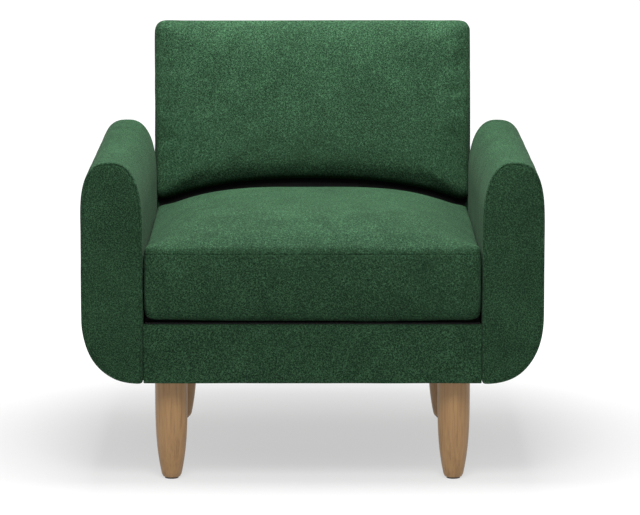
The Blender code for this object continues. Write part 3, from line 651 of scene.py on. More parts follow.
# --- Studio ---------------------------------------------------------------------------------------
@dataclass
class Studio:
    """Camera, a floor that glows with a painted shadow under the chair, and soft overhead light."""

    distance: float = 7.0
    height: float = 1.503
    pitch_deg: float = 8.69
    lens_mm: float = 212.8
    shift_x: float = 0.0117
    floor_half: float = 30.0
    floor_grey: str = "#737373"
    # The floor's painted glow: low near the chair as a painted shadow, full away from it.
    painted_shadow_start: float = 0.1
    painted_shadow_oval: float = 0.6
    painted_shadow_end: float = 1.2
    painted_shadow_glow: float = 0.55
    painted_glow_far: float = 1.0
    lamp_height: float = 1.80
    lamp_size: tuple[float, float] = (1.1, 0.9)
    lamp_power: float = 60.0
    fill_power: float = 190.0
    zenith: float = 0.6
    horizon: float = 0.10

    def build(self) -> None:
        """Set the camera, the floor, the lights and the world."""
        self.add_camera()
        self.add_floor()
        self.add_lights()
        self.add_world()

    def add_camera(self) -> None:
        """Place the camera in front of the chair, looking slightly down."""
        data = bpy.data.cameras.new("camera")
        data.lens = self.lens_mm
        data.sensor_width = 36.0
        data.shift_x = self.shift_x
        data.clip_end = 200.0
        camera = bpy.data.objects.new("camera", data)
        camera.location = (0.0, CAD_BOX[0][1] - self.distance, self.height)
        camera.rotation_euler = (math.radians(90 - self.pitch_deg), 0.0, 0.0)
        bpy.context.scene.collection.objects.link(camera)
        bpy.context.scene.camera = camera

    def add_floor(self) -> None:
        """Lay a wide grey floor sheet that glows though it is no lamp: painted light, dimmer near the chair as a
        painted shadow.
        """
        deselect_all()
        bpy.ops.mesh.primitive_plane_add(size=2 * self.floor_half, location=(0.0, 0.0, 0.0))
        floor = bpy.context.object
        floor.name = "studio_floor"
        blend = Blend("glowing_floor_painted_shadow", {"Specular IOR Level": 0.1, "Base Color": linear(self.floor_grey),
                                            "Emission Color": linear("#FFFFFF")})
        tree = blend.tree
        oval = add_node(tree, "Mapping", {"Scale": (self.painted_shadow_oval, 1.0, 1.0)}, blend.place)
        away = add_node(tree, "VectorMath", {"operation": "LENGTH"}, {0: oval.outputs["Vector"]})
        # Painted glow: emission that is dim near the chair as a painted shadow, and full further out.
        painted_glow = add_node(tree, "MapRange", {
            "interpolation_type": "SMOOTHSTEP", "From Min": self.painted_shadow_start, "From Max": self.painted_shadow_end,
            "To Min": self.painted_shadow_glow, "To Max": self.painted_glow_far}, {"Value": away.outputs["Value"]})
        frost = add_node(tree, "TexNoise", {"Scale": 2.0, "Detail": 3.0}, blend.place)
        rough = add_node(tree, "MapRange", {"To Min": 0.7, "To Max": 0.85}, {"Value": frost.outputs["Fac"]})
        tree.links.new(rough.outputs["Result"], blend.shader.inputs["Roughness"])
        tree.links.new(painted_glow.outputs["Result"], blend.shader.inputs["Emission Strength"])
        floor.data.materials.append(blend.material)

    def add_lights(self) -> None:
        """Hang a softbox close above the chair and a weaker one high in front."""
        for name, place, target, size, power in (
                ("top_softbox", (0.0, -0.10, self.lamp_height), (0.0, 0.0, 0.0), self.lamp_size, self.lamp_power),
                ("front_softbox", (0.0, -3.3, 4.5), (0.0, -0.43, 0.4), (1.7, 1.7), self.fill_power)):
            data = bpy.data.lights.new(name, "AREA")
            data.shape = "RECTANGLE"
            data.size, data.size_y = size
            data.energy = power
            lamp = bpy.data.objects.new(name, data)
            lamp.location = place
            lamp.rotation_euler = (Vector(target) - Vector(place)).to_track_quat("-Z", "Y").to_euler()
            bpy.context.scene.collection.objects.link(lamp)

    def add_world(self) -> None:
        """Surround the chair with light that is bright overhead and dim at the horizon."""
        world = bpy.data.worlds.new("studio_air")
        bpy.context.scene.world = world
        world.use_nodes = True
        tree = world.node_tree
        tree.nodes.clear()
        place = add_node(tree, "TexCoord")
        height = add_node(tree, "SeparateXYZ", links={"Vector": place.outputs["Generated"]})
        level = add_node(tree, "MapRange", {"From Min": 0.0, "From Max": 0.8, "To Min": self.horizon,
                                            "To Max": self.zenith}, {"Value": height.outputs["Z"]})
        air = add_node(tree, "Background", {"Color": (1.0, 1.0, 1.0, 1.0)}, {"Strength": level.outputs["Result"]})
        add_node(tree, "OutputWorld", links={"Surface": air.outputs["Background"]})
        bpy.context.scene.view_settings.view_transform = "Standard"


# --- Arms -----------------------------------------------------------------------------------------
@dataclass
class Arm:
    """A slab arm with a rounded top and a belly, wrapped in cloth between two flat facings."""

    side: Side
    wardrobe: Wardrobe
    shoulder_drop: float = 0.121
    ridge_in: float = 0.0575       # from the inner side to the ridge
    inner_power: float = 2.4
    outer_power: float = 2.9
    belly_rise: float = 0.128
    belly_in: float = 0.0065
    belly_power: float = 2.25
    heel: float = 0.006
    spokes: int = 168
    seam_in: float = 0.0052        # from the outline to the facing's seam
    crown: float = 0.0022
    rows: int = 72
    bone_low: float = 0.080        # the facing's faces run in to a line between these distances
    bone_high: float = 0.058       # from the arm's underside and top

    def outline(self) -> list[Point]:
        """Return the arm's front outline, counter-clockwise seen from in front."""
        low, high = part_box(f"arm_cover_{self.side.name.lower()}")
        inner, outer = sorted((abs(low.x), abs(high.x)))
        bottom, top = low.z, high.z
        shoulder = (inner + self.ridge_in, top - self.shoulder_drop)
        belly = (inner + self.belly_in, bottom + self.belly_rise)
        heel = (inner + self.heel, bottom + self.heel)
        quarters = (
            (heel, self.heel, self.heel, 2.0, 180),
            (belly, outer - belly[0], self.belly_rise, self.belly_power, 270),
            (shoulder, outer - shoulder[0], self.shoulder_drop, self.outer_power, 0),
            (shoulder, self.ridge_in, self.shoulder_drop, self.inner_power, 90))
        points = []
        for centre, across, up, power, start in quarters:
            for step in range(25):
                turn = math.radians(start + 90 * step / 24)
                cosine, sine = math.cos(turn), math.sin(turn)
                points.append((centre[0] + across * math.copysign(abs(cosine) ** (2 / power), cosine),
                               centre[1] + up * math.copysign(abs(sine) ** (2 / power), sine)))
        return resample(points, self.spokes)

    def rings(self) -> list[list[Vector]]:
        """Return the rings from the front facing's middle over the wrap to the rear facing's middle."""
        low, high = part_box(f"arm_cover_{self.side.name.lower()}")
        outline = self.outline()
        middle = sum(p[0] for p in outline) / len(outline)
        bone = (low.z + self.bone_low, high.z - self.bone_high)
        seam = self.seam_in
        # The facing's rim and the wrap's first rows, as (distance in from the outline, depth).
        edge = [(seam + 0.0035, 0.0004), (seam + 0.0012, 0.0007), (seam, 0.0026), (seam - 0.0012, 0.0009),
                (seam - 0.0028, 0.0008), (0.0010, 0.0022), (0.0, 0.0056), (0.0, 0.0120)]
        facing = shrink(outline, seam + 0.0060)
        shares = (1.0, 0.86, 0.7, 0.52, 0.34, 0.18, 0.07, 0.0)
        front = []
        for share in shares:
            bulge = -self.crown * (1 - (1 - share) ** 2.2)
            front.append([(x + (middle - x) * share, z + (min(max(z, bone[0]), bone[1]) - z) * share, bulge)
                          for x, z in facing])
        for inset, depth in edge:
            front.append([(x, z, depth) for x, z in shrink(outline, inset)])
        rings = [[self.place(x, z, low.y + depth) for x, z, depth in ring] for ring in front]
        length = high.y - low.y
        start = edge[-1][1]
        for row in range(1, self.rows):
            depth = start + (length - 2 * start) * row / self.rows
            rings.append([self.place(x, z, low.y + depth) for x, z in outline])
        rings += [[self.place(x, z, high.y - depth) for x, z, depth in ring] for ring in reversed(front)]
        return rings

    def place(self, across: float, height: float, along: float) -> Vector:
        """Return a point of this side's arm."""
        return Vector((self.side.value * across, along, height))

    def build(self) -> None:
        """Build the padded arm and give it its cloth."""
        name = self.side.name.lower()
        piece = skin(f"arm_upholstery_{name}", self.rings())
        ripple(piece, height=0.9 * MM, wave=0.11, seed=3.0 + self.side.value)
        ripple(piece, height=0.35 * MM, wave=0.035, seed=7.0 + self.side.value)
        low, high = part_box(f"arm_cover_{name}")
        inner, outer = sorted((abs(low.x), abs(high.x)))
        for vert in piece.data.vertices:
            reach = min(max(abs(vert.co.x), inner), outer)
            vert.co = self.place(reach, min(max(vert.co.z, low.z), high.z), max(vert.co.y, low.y))
        apply_modifier(piece, "SUBSURF", levels=1, render_levels=1)
        shade(piece)
        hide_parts(f"arm_cover_{name}", f"arm_foam_{name}")
        dress(piece, self.wardrobe.chenille, Body.FRAME)


# --- Loose seat cushion ---------------------------------------------------------------------------
@dataclass
class SeatCushion:
    """A box cushion with a crowned top, sewn round its upper and lower edges."""

    wardrobe: Wardrobe
    side_height: float = 0.1270
    crown: float = 0.0565
    crown_power_across: float = 3.5
    crown_power_along: float = 4.5
    belly: float = 0.006           # how far the front and rear faces swell in the middle
    belly_lean: float = 0.7        # under 1 puts the fullest part lower
    belly_hold: float = 6.0        # how soon the swelling fades away from those faces
    end_lift: float = 0.0045       # of the underside, towards the two ends
    end_lift_power: float = 2.5
    puff: Puff = Puff(cap=0.007, spread=(0.25, 0.5, 1.0))
    corner: float = 0.010
    edge: float = 0.009
    top_seam_drop: float = 0.0035
    bottom_seam_rise: float = 0.010
    brow: float = 0.0095           # extra height along the top's front edge
    brow_run: float = 0.085
    tuck: float = 0.017            # how far the front face's foot turns under
    tuck_height: float = 0.066
    tuck_run: float = 0.060
    tuck_power: float = 2.2
    overhang: float = 0.0305       # how much of the front reaches past the pad it lies on
    sag: float = 0.011             # of that overhang, as the filling pushes down over the pad's edge
    sag_share: float = 0.35        # of the side's height that sags
    clear: float = 0.0085          # the most that it reaches below the pad's top
    spokes: int = 200

    def outline(self) -> list[Point]:
        """Return the cushion's plan, counter-clockwise from above, with rounded corners."""
        low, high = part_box("seat_cushion_cover")
        corners = ((high.x, low.y, 270), (high.x, high.y, 0), (low.x, high.y, 90), (low.x, low.y, 180))
        points = []
        for x, y, start in corners:
            inward = self.corner if y == low.y else -self.corner
            points += arc(Vector((x - math.copysign(self.corner, x), y + inward)), self.corner, start, 90, 6)
        return resample(points, self.spokes)

    def rings(self) -> list[list[Vector]]:
        """Return the rings from the top's middle over the sides to the bottom's middle."""
        low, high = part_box("seat_cushion_cover")
        middle = Vector(((low.x + high.x) / 2, (low.y + high.y) / 2))
        half = Vector(((high.x - low.x) / 2 - self.edge, (high.y - low.y) / 2 - self.edge))
        outline = self.outline()
        edge_top = low.z + self.side_height
        rings = []

        def swell(x: float, y: float, amount: float) -> float:
            across = clamp(abs(x - middle.x) / half.x)
            along = clamp(abs(y - middle.y) / half.y)
            return amount * (1 - across ** self.crown_power_across) * (1 - along ** self.crown_power_along)

        for step in range(24, -1, -1):
            share = step / 24
            ring = []
            for x, y in shrink(outline, self.edge):
                x, y = x + (middle.x - x) * share, y + (middle.y - y) * share
                ring.append(Vector((x, y, edge_top + swell(x, y, self.crown))))
            rings.append(ring)
        for step in range(1, 5):
            turn = math.radians(90 * step / 4)
            inset = self.edge * (1 - math.sin(turn))
            rings.append([Vector((x, y, edge_top - self.edge * (1 - math.cos(turn))))
                          for x, y in shrink(outline, inset)])
        bottom = low.z
        for step in range(1, 12):
            height = edge_top - self.edge + (bottom + 2 * self.edge - edge_top) * step / 12
            rings.append([Vector((x, y, height)) for x, y in outline])
        for step in range(0, 5):
            turn = math.radians(90 * step / 4)
            inset = self.edge * (1 - math.cos(turn))
            rings.append([Vector((x, y, self.floor_at(x, middle.x, half.x) + self.edge * (1 - math.sin(turn))))
                          for x, y in shrink(outline, inset)])
        for step in range(1, 25):
            share = step / 24
            rings.append([Vector((x + (middle.x - x) * share, y + (middle.y - y) * share,
                                  self.floor_at(x + (middle.x - x) * share, middle.x, half.x)))
                          for x, y in shrink(outline, self.edge)])
        return rings

    def floor_at(self, x: float, middle: float, half: float) -> float:
        """Return the height of the underside, which lifts towards the two ends."""
        low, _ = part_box("seat_cushion_cover")
        return low.z + self.end_lift * clamp(abs(x - middle) / half) ** self.end_lift_power

    def build(self) -> None:
        """Inflate the cushion, keep it off its neighbours and press in its seams."""
        low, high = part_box("seat_cushion_cover")
        piece = skin("seat_cushion", self.rings())
        for vert in piece.data.vertices:
            share = clamp((vert.co.z - low.z) / self.side_height)
            side = (vert.co.y - low.y) / (high.y - low.y) - 0.5
            swelling = self.belly * math.sin(math.pi * share ** self.belly_lean)
            vert.co.y += math.copysign(swelling, side) * (2 * abs(side)) ** self.belly_hold
        self.puff.run(piece)
        apply_modifier(piece, "SUBSURF", levels=1, render_levels=1)
        side = high.x + 1.2 * MM
        fit_box(piece, (-side - 1 * MM, low.y - self.belly, None), (side + 1 * MM, high.y, None))
        for vert in piece.data.vertices:
            vert.co.x = min(max(vert.co.x, -side), side)
            vert.co.y = min(max(vert.co.y, low.y - 6 * MM), high.y + 1 * MM)
            vert.co.z = max(vert.co.z, low.z)
        ripple(piece, height=1.2 * MM, wave=0.13, seed=1.0)
        self.settle(piece, low)
        up = Vector((0.0, 0.0, 1.0))
        for height, depth in ((self.side_height - self.top_seam_drop, 0.8 * MM),
                              (self.bottom_seam_rise, 0.9 * MM)):
            cut_seam(piece, Vector((0.0, 0.0, low.z + height)), up, depth=depth, width=1.4 * MM)
        shade(piece)
        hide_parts("seat_cushion_cover", "seat_cushion_foam")
        dress(piece, self.wardrobe.chenille, Body.CUSHION)

    def settle(self, piece: bpy.types.Object, low: Vector) -> None:
        """Fill out the front's brow, tuck its foot under and let it sag over the pad's edge.

        Args:
            piece: the inflated cushion.
            low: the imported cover's lowest corner.
        """
        sagging = self.sag_share * self.side_height
        for vert in piece.data.vertices:
            over = clamp((low.y + self.overhang - vert.co.y) / (self.overhang - self.edge))
            depth = clamp((low.z + sagging - vert.co.z) / sagging)
            rise = ease((low.y + self.brow_run - vert.co.y) / self.brow_run)
            vert.co.z += self.brow * rise * clamp((vert.co.z - low.z) / self.side_height * 2 - 1)
            foot = clamp(1 - (vert.co.z - low.z) / self.tuck_height)
            front = clamp((low.y + self.tuck_run - vert.co.y) / self.tuck_run)
            vert.co.y += self.tuck * foot ** self.tuck_power * front
            vert.co.z = max(vert.co.z - self.sag * ease(over) * depth, low.z - self.clear * clamp(over * 2))


# --- Back -----------------------------------------------------------------------------------------
@dataclass
class BackRest:
    """The fixed padded back, its skirt, its flat outside panel and a black sheet of painted shade under the
    padding, all on the recline's slope.
    """

    wardrobe: Wardrobe
    recline_deg: float = 10.0
    foot_z: float = 0.200
    thickness: float = 0.129
    edge: float = 0.018
    puff: Puff = Puff(cap=0.007, spread=(0.2, 1.0, 0.2))
    half_top: float = 0.3245
    half_between_arms: float = 0.3181
    squeeze_run: float = 0.020     # behind the arms' ends, over which the padding swells out again
    corner_top: float = 0.019
    corner_bottom: float = 0.026
    pad_start: float = 0.247       # up the slope, where the padding turns under
    arch: float = 0.051            # how much higher the padding ends in the middle than at its corners
    bulge: float = 0.010
    roll: float = 0.014
    crest: float = 0.005
    spokes: int = 220
    panel: float = 0.0045
    skirt_front: float = 0.052
    # A thin black sheet in the gap under the padding stands for the shade there: painted shade.
    painted_shade_sheet: float = 0.0012
    painted_shade_start: float = 0.112    # up the slope, behind the seat's deck, where the black sheet of painted shade starts
    lower_cuts: int = 24
    recess: float = 0.024          # of the lower part behind the padding's face
    body_start: float = 0.1308     # up the slope, where the lower part begins above the skirts

    def __post_init__(self) -> None:
        """Work out the slope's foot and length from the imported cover's box."""
        _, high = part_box("back_cover")
        turn = math.radians(self.recline_deg)
        self.length = (high.z - self.foot_z + self.edge * math.sin(turn)) / math.cos(turn)
        foot_y = high.y - self.thickness * math.cos(turn) - self.length * math.sin(turn)
        self.to_chair = Matrix.Translation((0.0, foot_y, self.foot_z)) @ Matrix.Rotation(-turn, 4, "X")

    def outline(self) -> list[Point]:
        """Return the padding's outline, counter-clockwise seen from in front, as (across, up the slope)."""
        top = self.length - self.crest
        points = []
        rounds = ((1, self.pad_start, self.corner_bottom, 270), (1, top, self.corner_top, 0),
                  (-1, top, self.corner_top, 90), (-1, self.pad_start, self.corner_bottom, 180))
        for sign, height, radius, start in rounds:
            centre_up = height + (radius if height == self.pad_start else -radius)
            centre_across = sign * (self.half_top - radius)
            points += arc((centre_across, centre_up), radius, start, 90, 6)
        crested = []
        for across, up in points:
            share = 1 - clamp(abs(across) / self.half_top) ** 2
            lift = self.crest * share if up > top - 0.001 else 0.0
            crested.append((across, up + lift))
        return resample(crested, self.spokes)

    def build(self) -> None:
        """Build the padding, the lower part, the black sheet of painted shade, the skirt and the outside panel."""
        self.build_padding()
        self.build_lower()
        self.build_painted_shade()
        self.build_outside()

    def build_padding(self) -> None:
        """Inflate the padding and turn its lower edge under."""
        outline = self.outline()
        middle = 0.5 * (self.length + self.pad_start)
        rings: list[list[Vector]] = []

        def face(share: float, inset: float, depth: float, out: float) -> list[Vector]:
            ring = []
            for across, up in shrink(outline, inset):
                across, up = across * (1 - share), up + (middle - up) * share
                reach = max(abs(across) / self.half_top, abs(up - middle) / (middle - self.pad_start))
                ring.append(Vector((across, depth - out * (1 - min(reach, 1.0) ** 3.0), up)))
            return ring

        for step in range(20, -1, -1):
            rings.append(face(step / 20, self.roll, 0.0, self.bulge))
        for step in range(1, 6):
            turn = math.radians(90 * step / 5)
            rings.append(face(0.0, self.roll * (1 - math.sin(turn)), self.roll * (1 - math.cos(turn)), 0.0))
        last = self.thickness - self.panel - 0.8 * MM
        for step in range(1, 14):
            rings.append(face(0.0, 0.0, self.roll + (last - 0.004 - self.roll) * step / 14, 0.0))
        rings.append(face(0.0, 0.001, last - 0.002, 0.0))
        rings.append(face(0.0, 0.004, last, 0.0))
        for step in range(1, 16):
            rings.append(face(step / 15, 0.004, last, 0.0))
        piece = skin("back_padding", rings)
        self.puff.run(piece)
        apply_modifier(piece, "SUBSURF", levels=1, render_levels=1)
        side = self.half_top + 1 * MM
        fit_box(piece, (-side, None, self.pad_start), (side, last, self.length))
        ripple(piece, height=1.2 * MM, wave=0.14, seed=5.0)
        for vert in piece.data.vertices:
            vert.co.y = min(vert.co.y, last)
            share = clamp((middle - vert.co.z) / (middle - self.pad_start))
            vert.co.z += self.arch * share ** 1.5 * (1 - clamp(abs(vert.co.x) / self.half_top) ** 2.5)
        cut_seam(piece, Vector((0.0, self.roll + 0.006, 0.0)), Vector((0.0, 1.0, 0.0)), 0.8 * MM, 1.4 * MM)
        piece.data.transform(self.to_chair)
        self.squeeze(piece)
        shade(piece)
        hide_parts("back_cover", "back_foam")
        dress(piece, self.wardrobe.chenille, Body.FRAME)

    def squeeze(self, piece: bpy.types.Object) -> None:
        """Press the padding's sides in where it stands between the arms."""
        arm_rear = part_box("arm_cover_right")[1].y
        for vert in piece.data.vertices:
            share = ease((vert.co.y - arm_rear) / self.squeeze_run)
            limit = self.half_between_arms + (self.half_top - self.half_between_arms) * share
            vert.co.x = min(max(vert.co.x, -limit), limit)

    def build_lower(self) -> None:
        """Build the recessed lower part that the padding's turned-in edge overhangs."""
        rear = self.thickness - self.panel - 1 * MM
        piece = make_block("back_lower", (-self.half_top + 1 * MM, self.recess, self.body_start),
                           (self.half_top - 1 * MM, rear, self.pad_start + self.arch + self.roll))
        subdivide(self.lower_cuts)
        apply_modifier(piece, "BEVEL", width=6 * MM, segments=4, limit_method="ANGLE")
        piece.data.transform(self.to_chair)
        self.squeeze(piece)
        shade(piece, 50.0)
        dress(piece, self.wardrobe.chenille, Body.FRAME)

    def build_painted_shade(self) -> None:
        """Build a black sheet over the lower part's front, a painted shade in the gap under the padding."""
        half = self.half_between_arms - 4 * MM
        top = self.pad_start + self.arch + self.roll - 6 * MM
        piece = make_block("back_painted_shade_sheet", (-half, self.recess - self.painted_shade_sheet - 0.5 * MM, self.painted_shade_start),
                           (half, self.recess - 0.5 * MM, top))
        apply_modifier(piece, "BEVEL", width=0.4 * MM, segments=2, limit_method="ANGLE")
        piece.data.transform(self.to_chair)
        shade(piece, 40.0)
        # The black cloth here is painted shade in the gap under the padding.
        dress(piece, self.wardrobe.platform, Body.FRAME)

    def build_outside(self) -> None:
        """Build the taut outside panel and the two skirts below the padding's sides."""
        low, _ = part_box("back_outside_panel")
        start = (low.z - self.foot_z) / math.cos(math.radians(self.recline_deg)) + 0.023
        half = self.half_top - 1 * MM
        top = self.length - 4 * MM
        front = self.thickness - self.panel
        wall = 4 * MM
        piece = make_block("back_outside", (-half, front, start), (half, self.thickness, top))
        bm = bmesh.new()
        bm.from_mesh(piece.data)
        corners = [e for e in bm.edges if all(v.co.z > top - 1 * MM for v in e.verts)
                   and abs(e.verts[0].co.y - e.verts[1].co.y) > 1 * MM]
        bmesh.ops.bevel(bm, geom=corners, offset=self.corner_top, segments=6, profile=0.5, affect="EDGES")
        bm.to_mesh(piece.data)
        bm.free()
        skirts = []
        for side in Side:
            inner, outer = sorted((side.value * half, side.value * (half - wall)))
            skirts.append(make_block("skirt", (inner, self.skirt_front, start),
                                     (outer, front, self.body_start - 0.5 * MM)))
        select_only(piece)
        for skirt in skirts:
            skirt.select_set(True)
        bpy.ops.object.join()
        apply_modifier(piece, "BEVEL", width=1.2 * MM, segments=3, limit_method="ANGLE")
        piece.data.transform(self.to_chair)
        arm_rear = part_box("arm_cover_right")[1].y
        for vert in piece.data.vertices:
            vert.co.y = max(vert.co.y, arm_rear + 1 * MM)
        shade(piece, 40.0)
        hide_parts("back_outside_panel")
        dress(piece, self.wardrobe.chenille, Body.FRAME)


# --- Front border ---------------------------------------------------------------------------------
@dataclass
class FrontBorder:
    """The padded border over the seat box's front rail."""

    wardrobe: Wardrobe
    top_round: float = 0.008
    bottom_round: float = 0.003
    end_round: float = 0.0015
    wall: float = 0.0021
    crown: float = 0.0012
    to_arm: float = 0.0006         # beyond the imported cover's ends, against the arms
    columns: int = 120

    def section(self) -> list[Point]:
        """Return the cloth's path as (depth, height), from the lower return to the upper one."""
        low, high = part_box("front_rail_cover")
        back = high.y - low.y
        points = [(back * share, low.z) for share in (1.0, 0.8, 0.6, 0.4)]
        lower, upper = self.bottom_round, self.top_round
        for centre, radius, start in (((lower, low.z + lower), lower, 270), ((upper, high.z - upper), upper, 180)):
            points += arc(centre, radius, start, -90, 5)
            if start == 270:
                rise = high.z - upper - low.z - lower
                points += [(-self.crown * math.sin(math.pi * step / 10), low.z + lower + rise * step / 10)
                           for step in range(1, 10)]
        points += [(back * share, high.z) for share in (0.6, 0.8, 1.0)]
        return points

    def build(self) -> None:
        """Sweep the section across the chair, round its ends in and give it a wall."""
        low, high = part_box("front_rail_cover")
        section = self.section()
        half = high.x + self.to_arm
        stops = [half - self.end_round * (1 - math.sin(math.radians(90 * step / 4))) for step in range(4, -1, -1)]
        inner = half - self.end_round
        spots = [-s for s in stops]
        spots += [-inner + 2 * inner * step / self.columns for step in range(1, self.columns)]
        spots += list(reversed(stops))
        bm = bmesh.new()
        rows = []
        for x in spots:
            over = max(abs(x) - inner, 0.0) / self.end_round
            inset = self.end_round * (1 - math.sqrt(max(1 - over * over, 0.0)))
            row = []
            for depth, height in section:
                middle = (low.z + high.z) / 2
                row.append(bm.verts.new((x, low.y + max(depth, inset),
                                         height + (inset if height < middle else -inset) * (depth > 1 * MM))))
            rows.append(row)
        for left, right in zip(rows, rows[1:]):
            for i in range(len(section) - 1):
                bm.faces.new((left[i], left[i + 1], right[i + 1], right[i]))
        bmesh.ops.recalc_face_normals(bm, faces=bm.faces)
        if sum(f.normal.y for f in bm.faces) > 0:
            bmesh.ops.reverse_faces(bm, faces=bm.faces)
        piece = link_mesh("front_border", bm)
        ripple(piece, height=0.5 * MM, wave=0.09, seed=9.0)
        apply_modifier(piece, "SOLIDIFY", thickness=self.wall, offset=-1.0)
        apply_modifier(piece, "SUBSURF", levels=1, render_levels=1)
        shade(piece)
        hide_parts("front_rail_cover")
        dress(piece, self.wardrobe.chenille, Body.FRAME)


# --- Legs -----------------------------------------------------------------------------------------
@dataclass
class Leg:
    """A turned leg that swells gently from its foot, on a round glide."""

    place: str
    wardrobe: Wardrobe
    radius: float = 0.0308
    foot: float = 0.0168
    straight: float = 0.024
    steps: int = 72
    top_chamfer: float = 0.0010
    rim: float = 0.0016
    glide_rim: float = 0.0008
    rings: int = 40
    crowding: float = 1.15         # of the rings towards the foot
    swell_power: float = 3.0
    crisp_deg: float = 30.0        # corners sharper than this stay crisp

    def build(self) -> None:
        """Turn the leg and its glide."""
        low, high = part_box(f"leg_{self.place}")
        centre = Vector(((low.x + high.x) / 2, (low.y + high.y) / 2, 0.0))
        leg = self.turn(f"turned_leg_{self.place}", self.profile(low.z, high.z), centre)
        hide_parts(f"leg_{self.place}")
        dress(leg, self.wardrobe.oak, Body.FRAME)
        glide_low, glide_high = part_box(f"glide_{self.place}")
        reach = (glide_high.x - glide_low.x) / 2
        path = self.rounded_foot(reach, glide_low.z, self.glide_rim)
        path += [(reach, glide_high.z), (0.0, glide_high.z)]
        glide = self.turn(f"foot_glide_{self.place}", path, centre)
        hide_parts(f"glide_{self.place}")
        dress(glide, self.wardrobe.glide, Body.FRAME)

    @staticmethod
    def rounded_foot(reach: float, bottom: float, rim: float) -> list[Point]:
        """Return a foot's half outline, from its middle out to its side, with a small round rim."""
        return [(0.0, bottom), (reach - rim, bottom), (reach - 0.3 * rim, bottom + 0.3 * rim),
                (reach, bottom + rim)]

    def profile(self, bottom: float, top: float) -> list[Point]:
        """Return the leg's half outline as (radius, height), from the foot's middle to the top's middle."""
        taper = top - self.straight
        points = self.rounded_foot(self.foot, bottom, self.rim)
        for step in range(2, self.rings + 1):
            height = taper * (step / self.rings) ** self.crowding
            if height > bottom + 2 * self.rim:
                swelling = 1 - (1 - height / taper) ** self.swell_power
                points.append((self.foot + (self.radius - self.foot) * swelling, height))
        points += [(self.radius, top - self.top_chamfer), (self.radius - self.top_chamfer, top), (0.0, top)]
        return points

    def turn(self, name: str, profile: Sequence[Point], centre: Vector) -> bpy.types.Object:
        """Turn a half outline on the lathe.

        Args:
            name: the piece's name.
            profile: (radius, height) points, both ends on the axis.
            centre: a point on the axis.

        Returns:
            The closed piece.
        """
        deselect_all()
        bpy.ops.mesh.primitive_plane_add(size=0.001, location=(0.0, 0.0, 0.0))
        piece = bpy.context.object
        piece.name = name
        bpy.ops.object.mode_set(mode="EDIT")
        bpy.ops.mesh.select_all(action="SELECT")
        bpy.ops.mesh.merge(type="CENTER")
        radius, height = profile[0]
        bpy.ops.transform.translate(value=(centre.x + radius, centre.y, centre.z + height))
        for (r0, h0), (r1, h1) in zip(profile, profile[1:]):
            bpy.ops.mesh.extrude_region_move(TRANSFORM_OT_translate={"value": (r1 - r0, 0.0, h1 - h0)})
        bpy.ops.mesh.select_all(action="SELECT")
        bpy.ops.mesh.spin(steps=self.steps, angle=2 * math.pi, center=centre, axis=(0.0, 0.0, 1.0))
        bpy.ops.mesh.select_all(action="SELECT")
        bpy.ops.mesh.remove_doubles(threshold=0.01 * MM)
        bpy.ops.mesh.normals_make_consistent(inside=False)
        bpy.ops.object.mode_set(mode="OBJECT")
        shade(piece, self.crisp_deg)
        return piece


# --- Under and inside the seat --------------------------------------------------------------------
@dataclass
class SeatDeck:
    """The thin pad of black platform cloth over felt that the loose cushion lies on."""

    wardrobe: Wardrobe
    cuts: int = 16
    edge: float = 0.003
    set_back: float = 0.016        # of its front edge, under the cushion's tucked foot
    lip: float = 0.0014            # the cloth alone, over the front rail
    dimple: float = 0.0008
    dimple_size: float = 0.09

    def build(self) -> None:
        """Build the pad with rounded edges and a slightly uneven top."""
        low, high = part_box("seat_deck_pad")
        low.y += self.set_back
        piece = make_block("deck_cloth", low, high)
        subdivide(self.cuts)
        apply_modifier(piece, "BEVEL", width=self.edge, segments=3, limit_method="ANGLE")
        for vert in piece.data.vertices:
            if vert.co.z > high.z - 0.1 * MM:
                vert.co.z -= self.dimple * (0.5 + 0.5 * noise.noise(vert.co / self.dimple_size))
        shade(piece, 40.0)
        lip = make_block("lip", (low.x, low.y - self.set_back, low.z),
                         (high.x, low.y - 0.1 * MM, low.z + self.lip))
        select_only(piece)
        lip.select_set(True)
        bpy.ops.object.join()
        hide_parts("seat_deck_pad")
        dress(piece, self.wardrobe.platform, Body.FRAME)


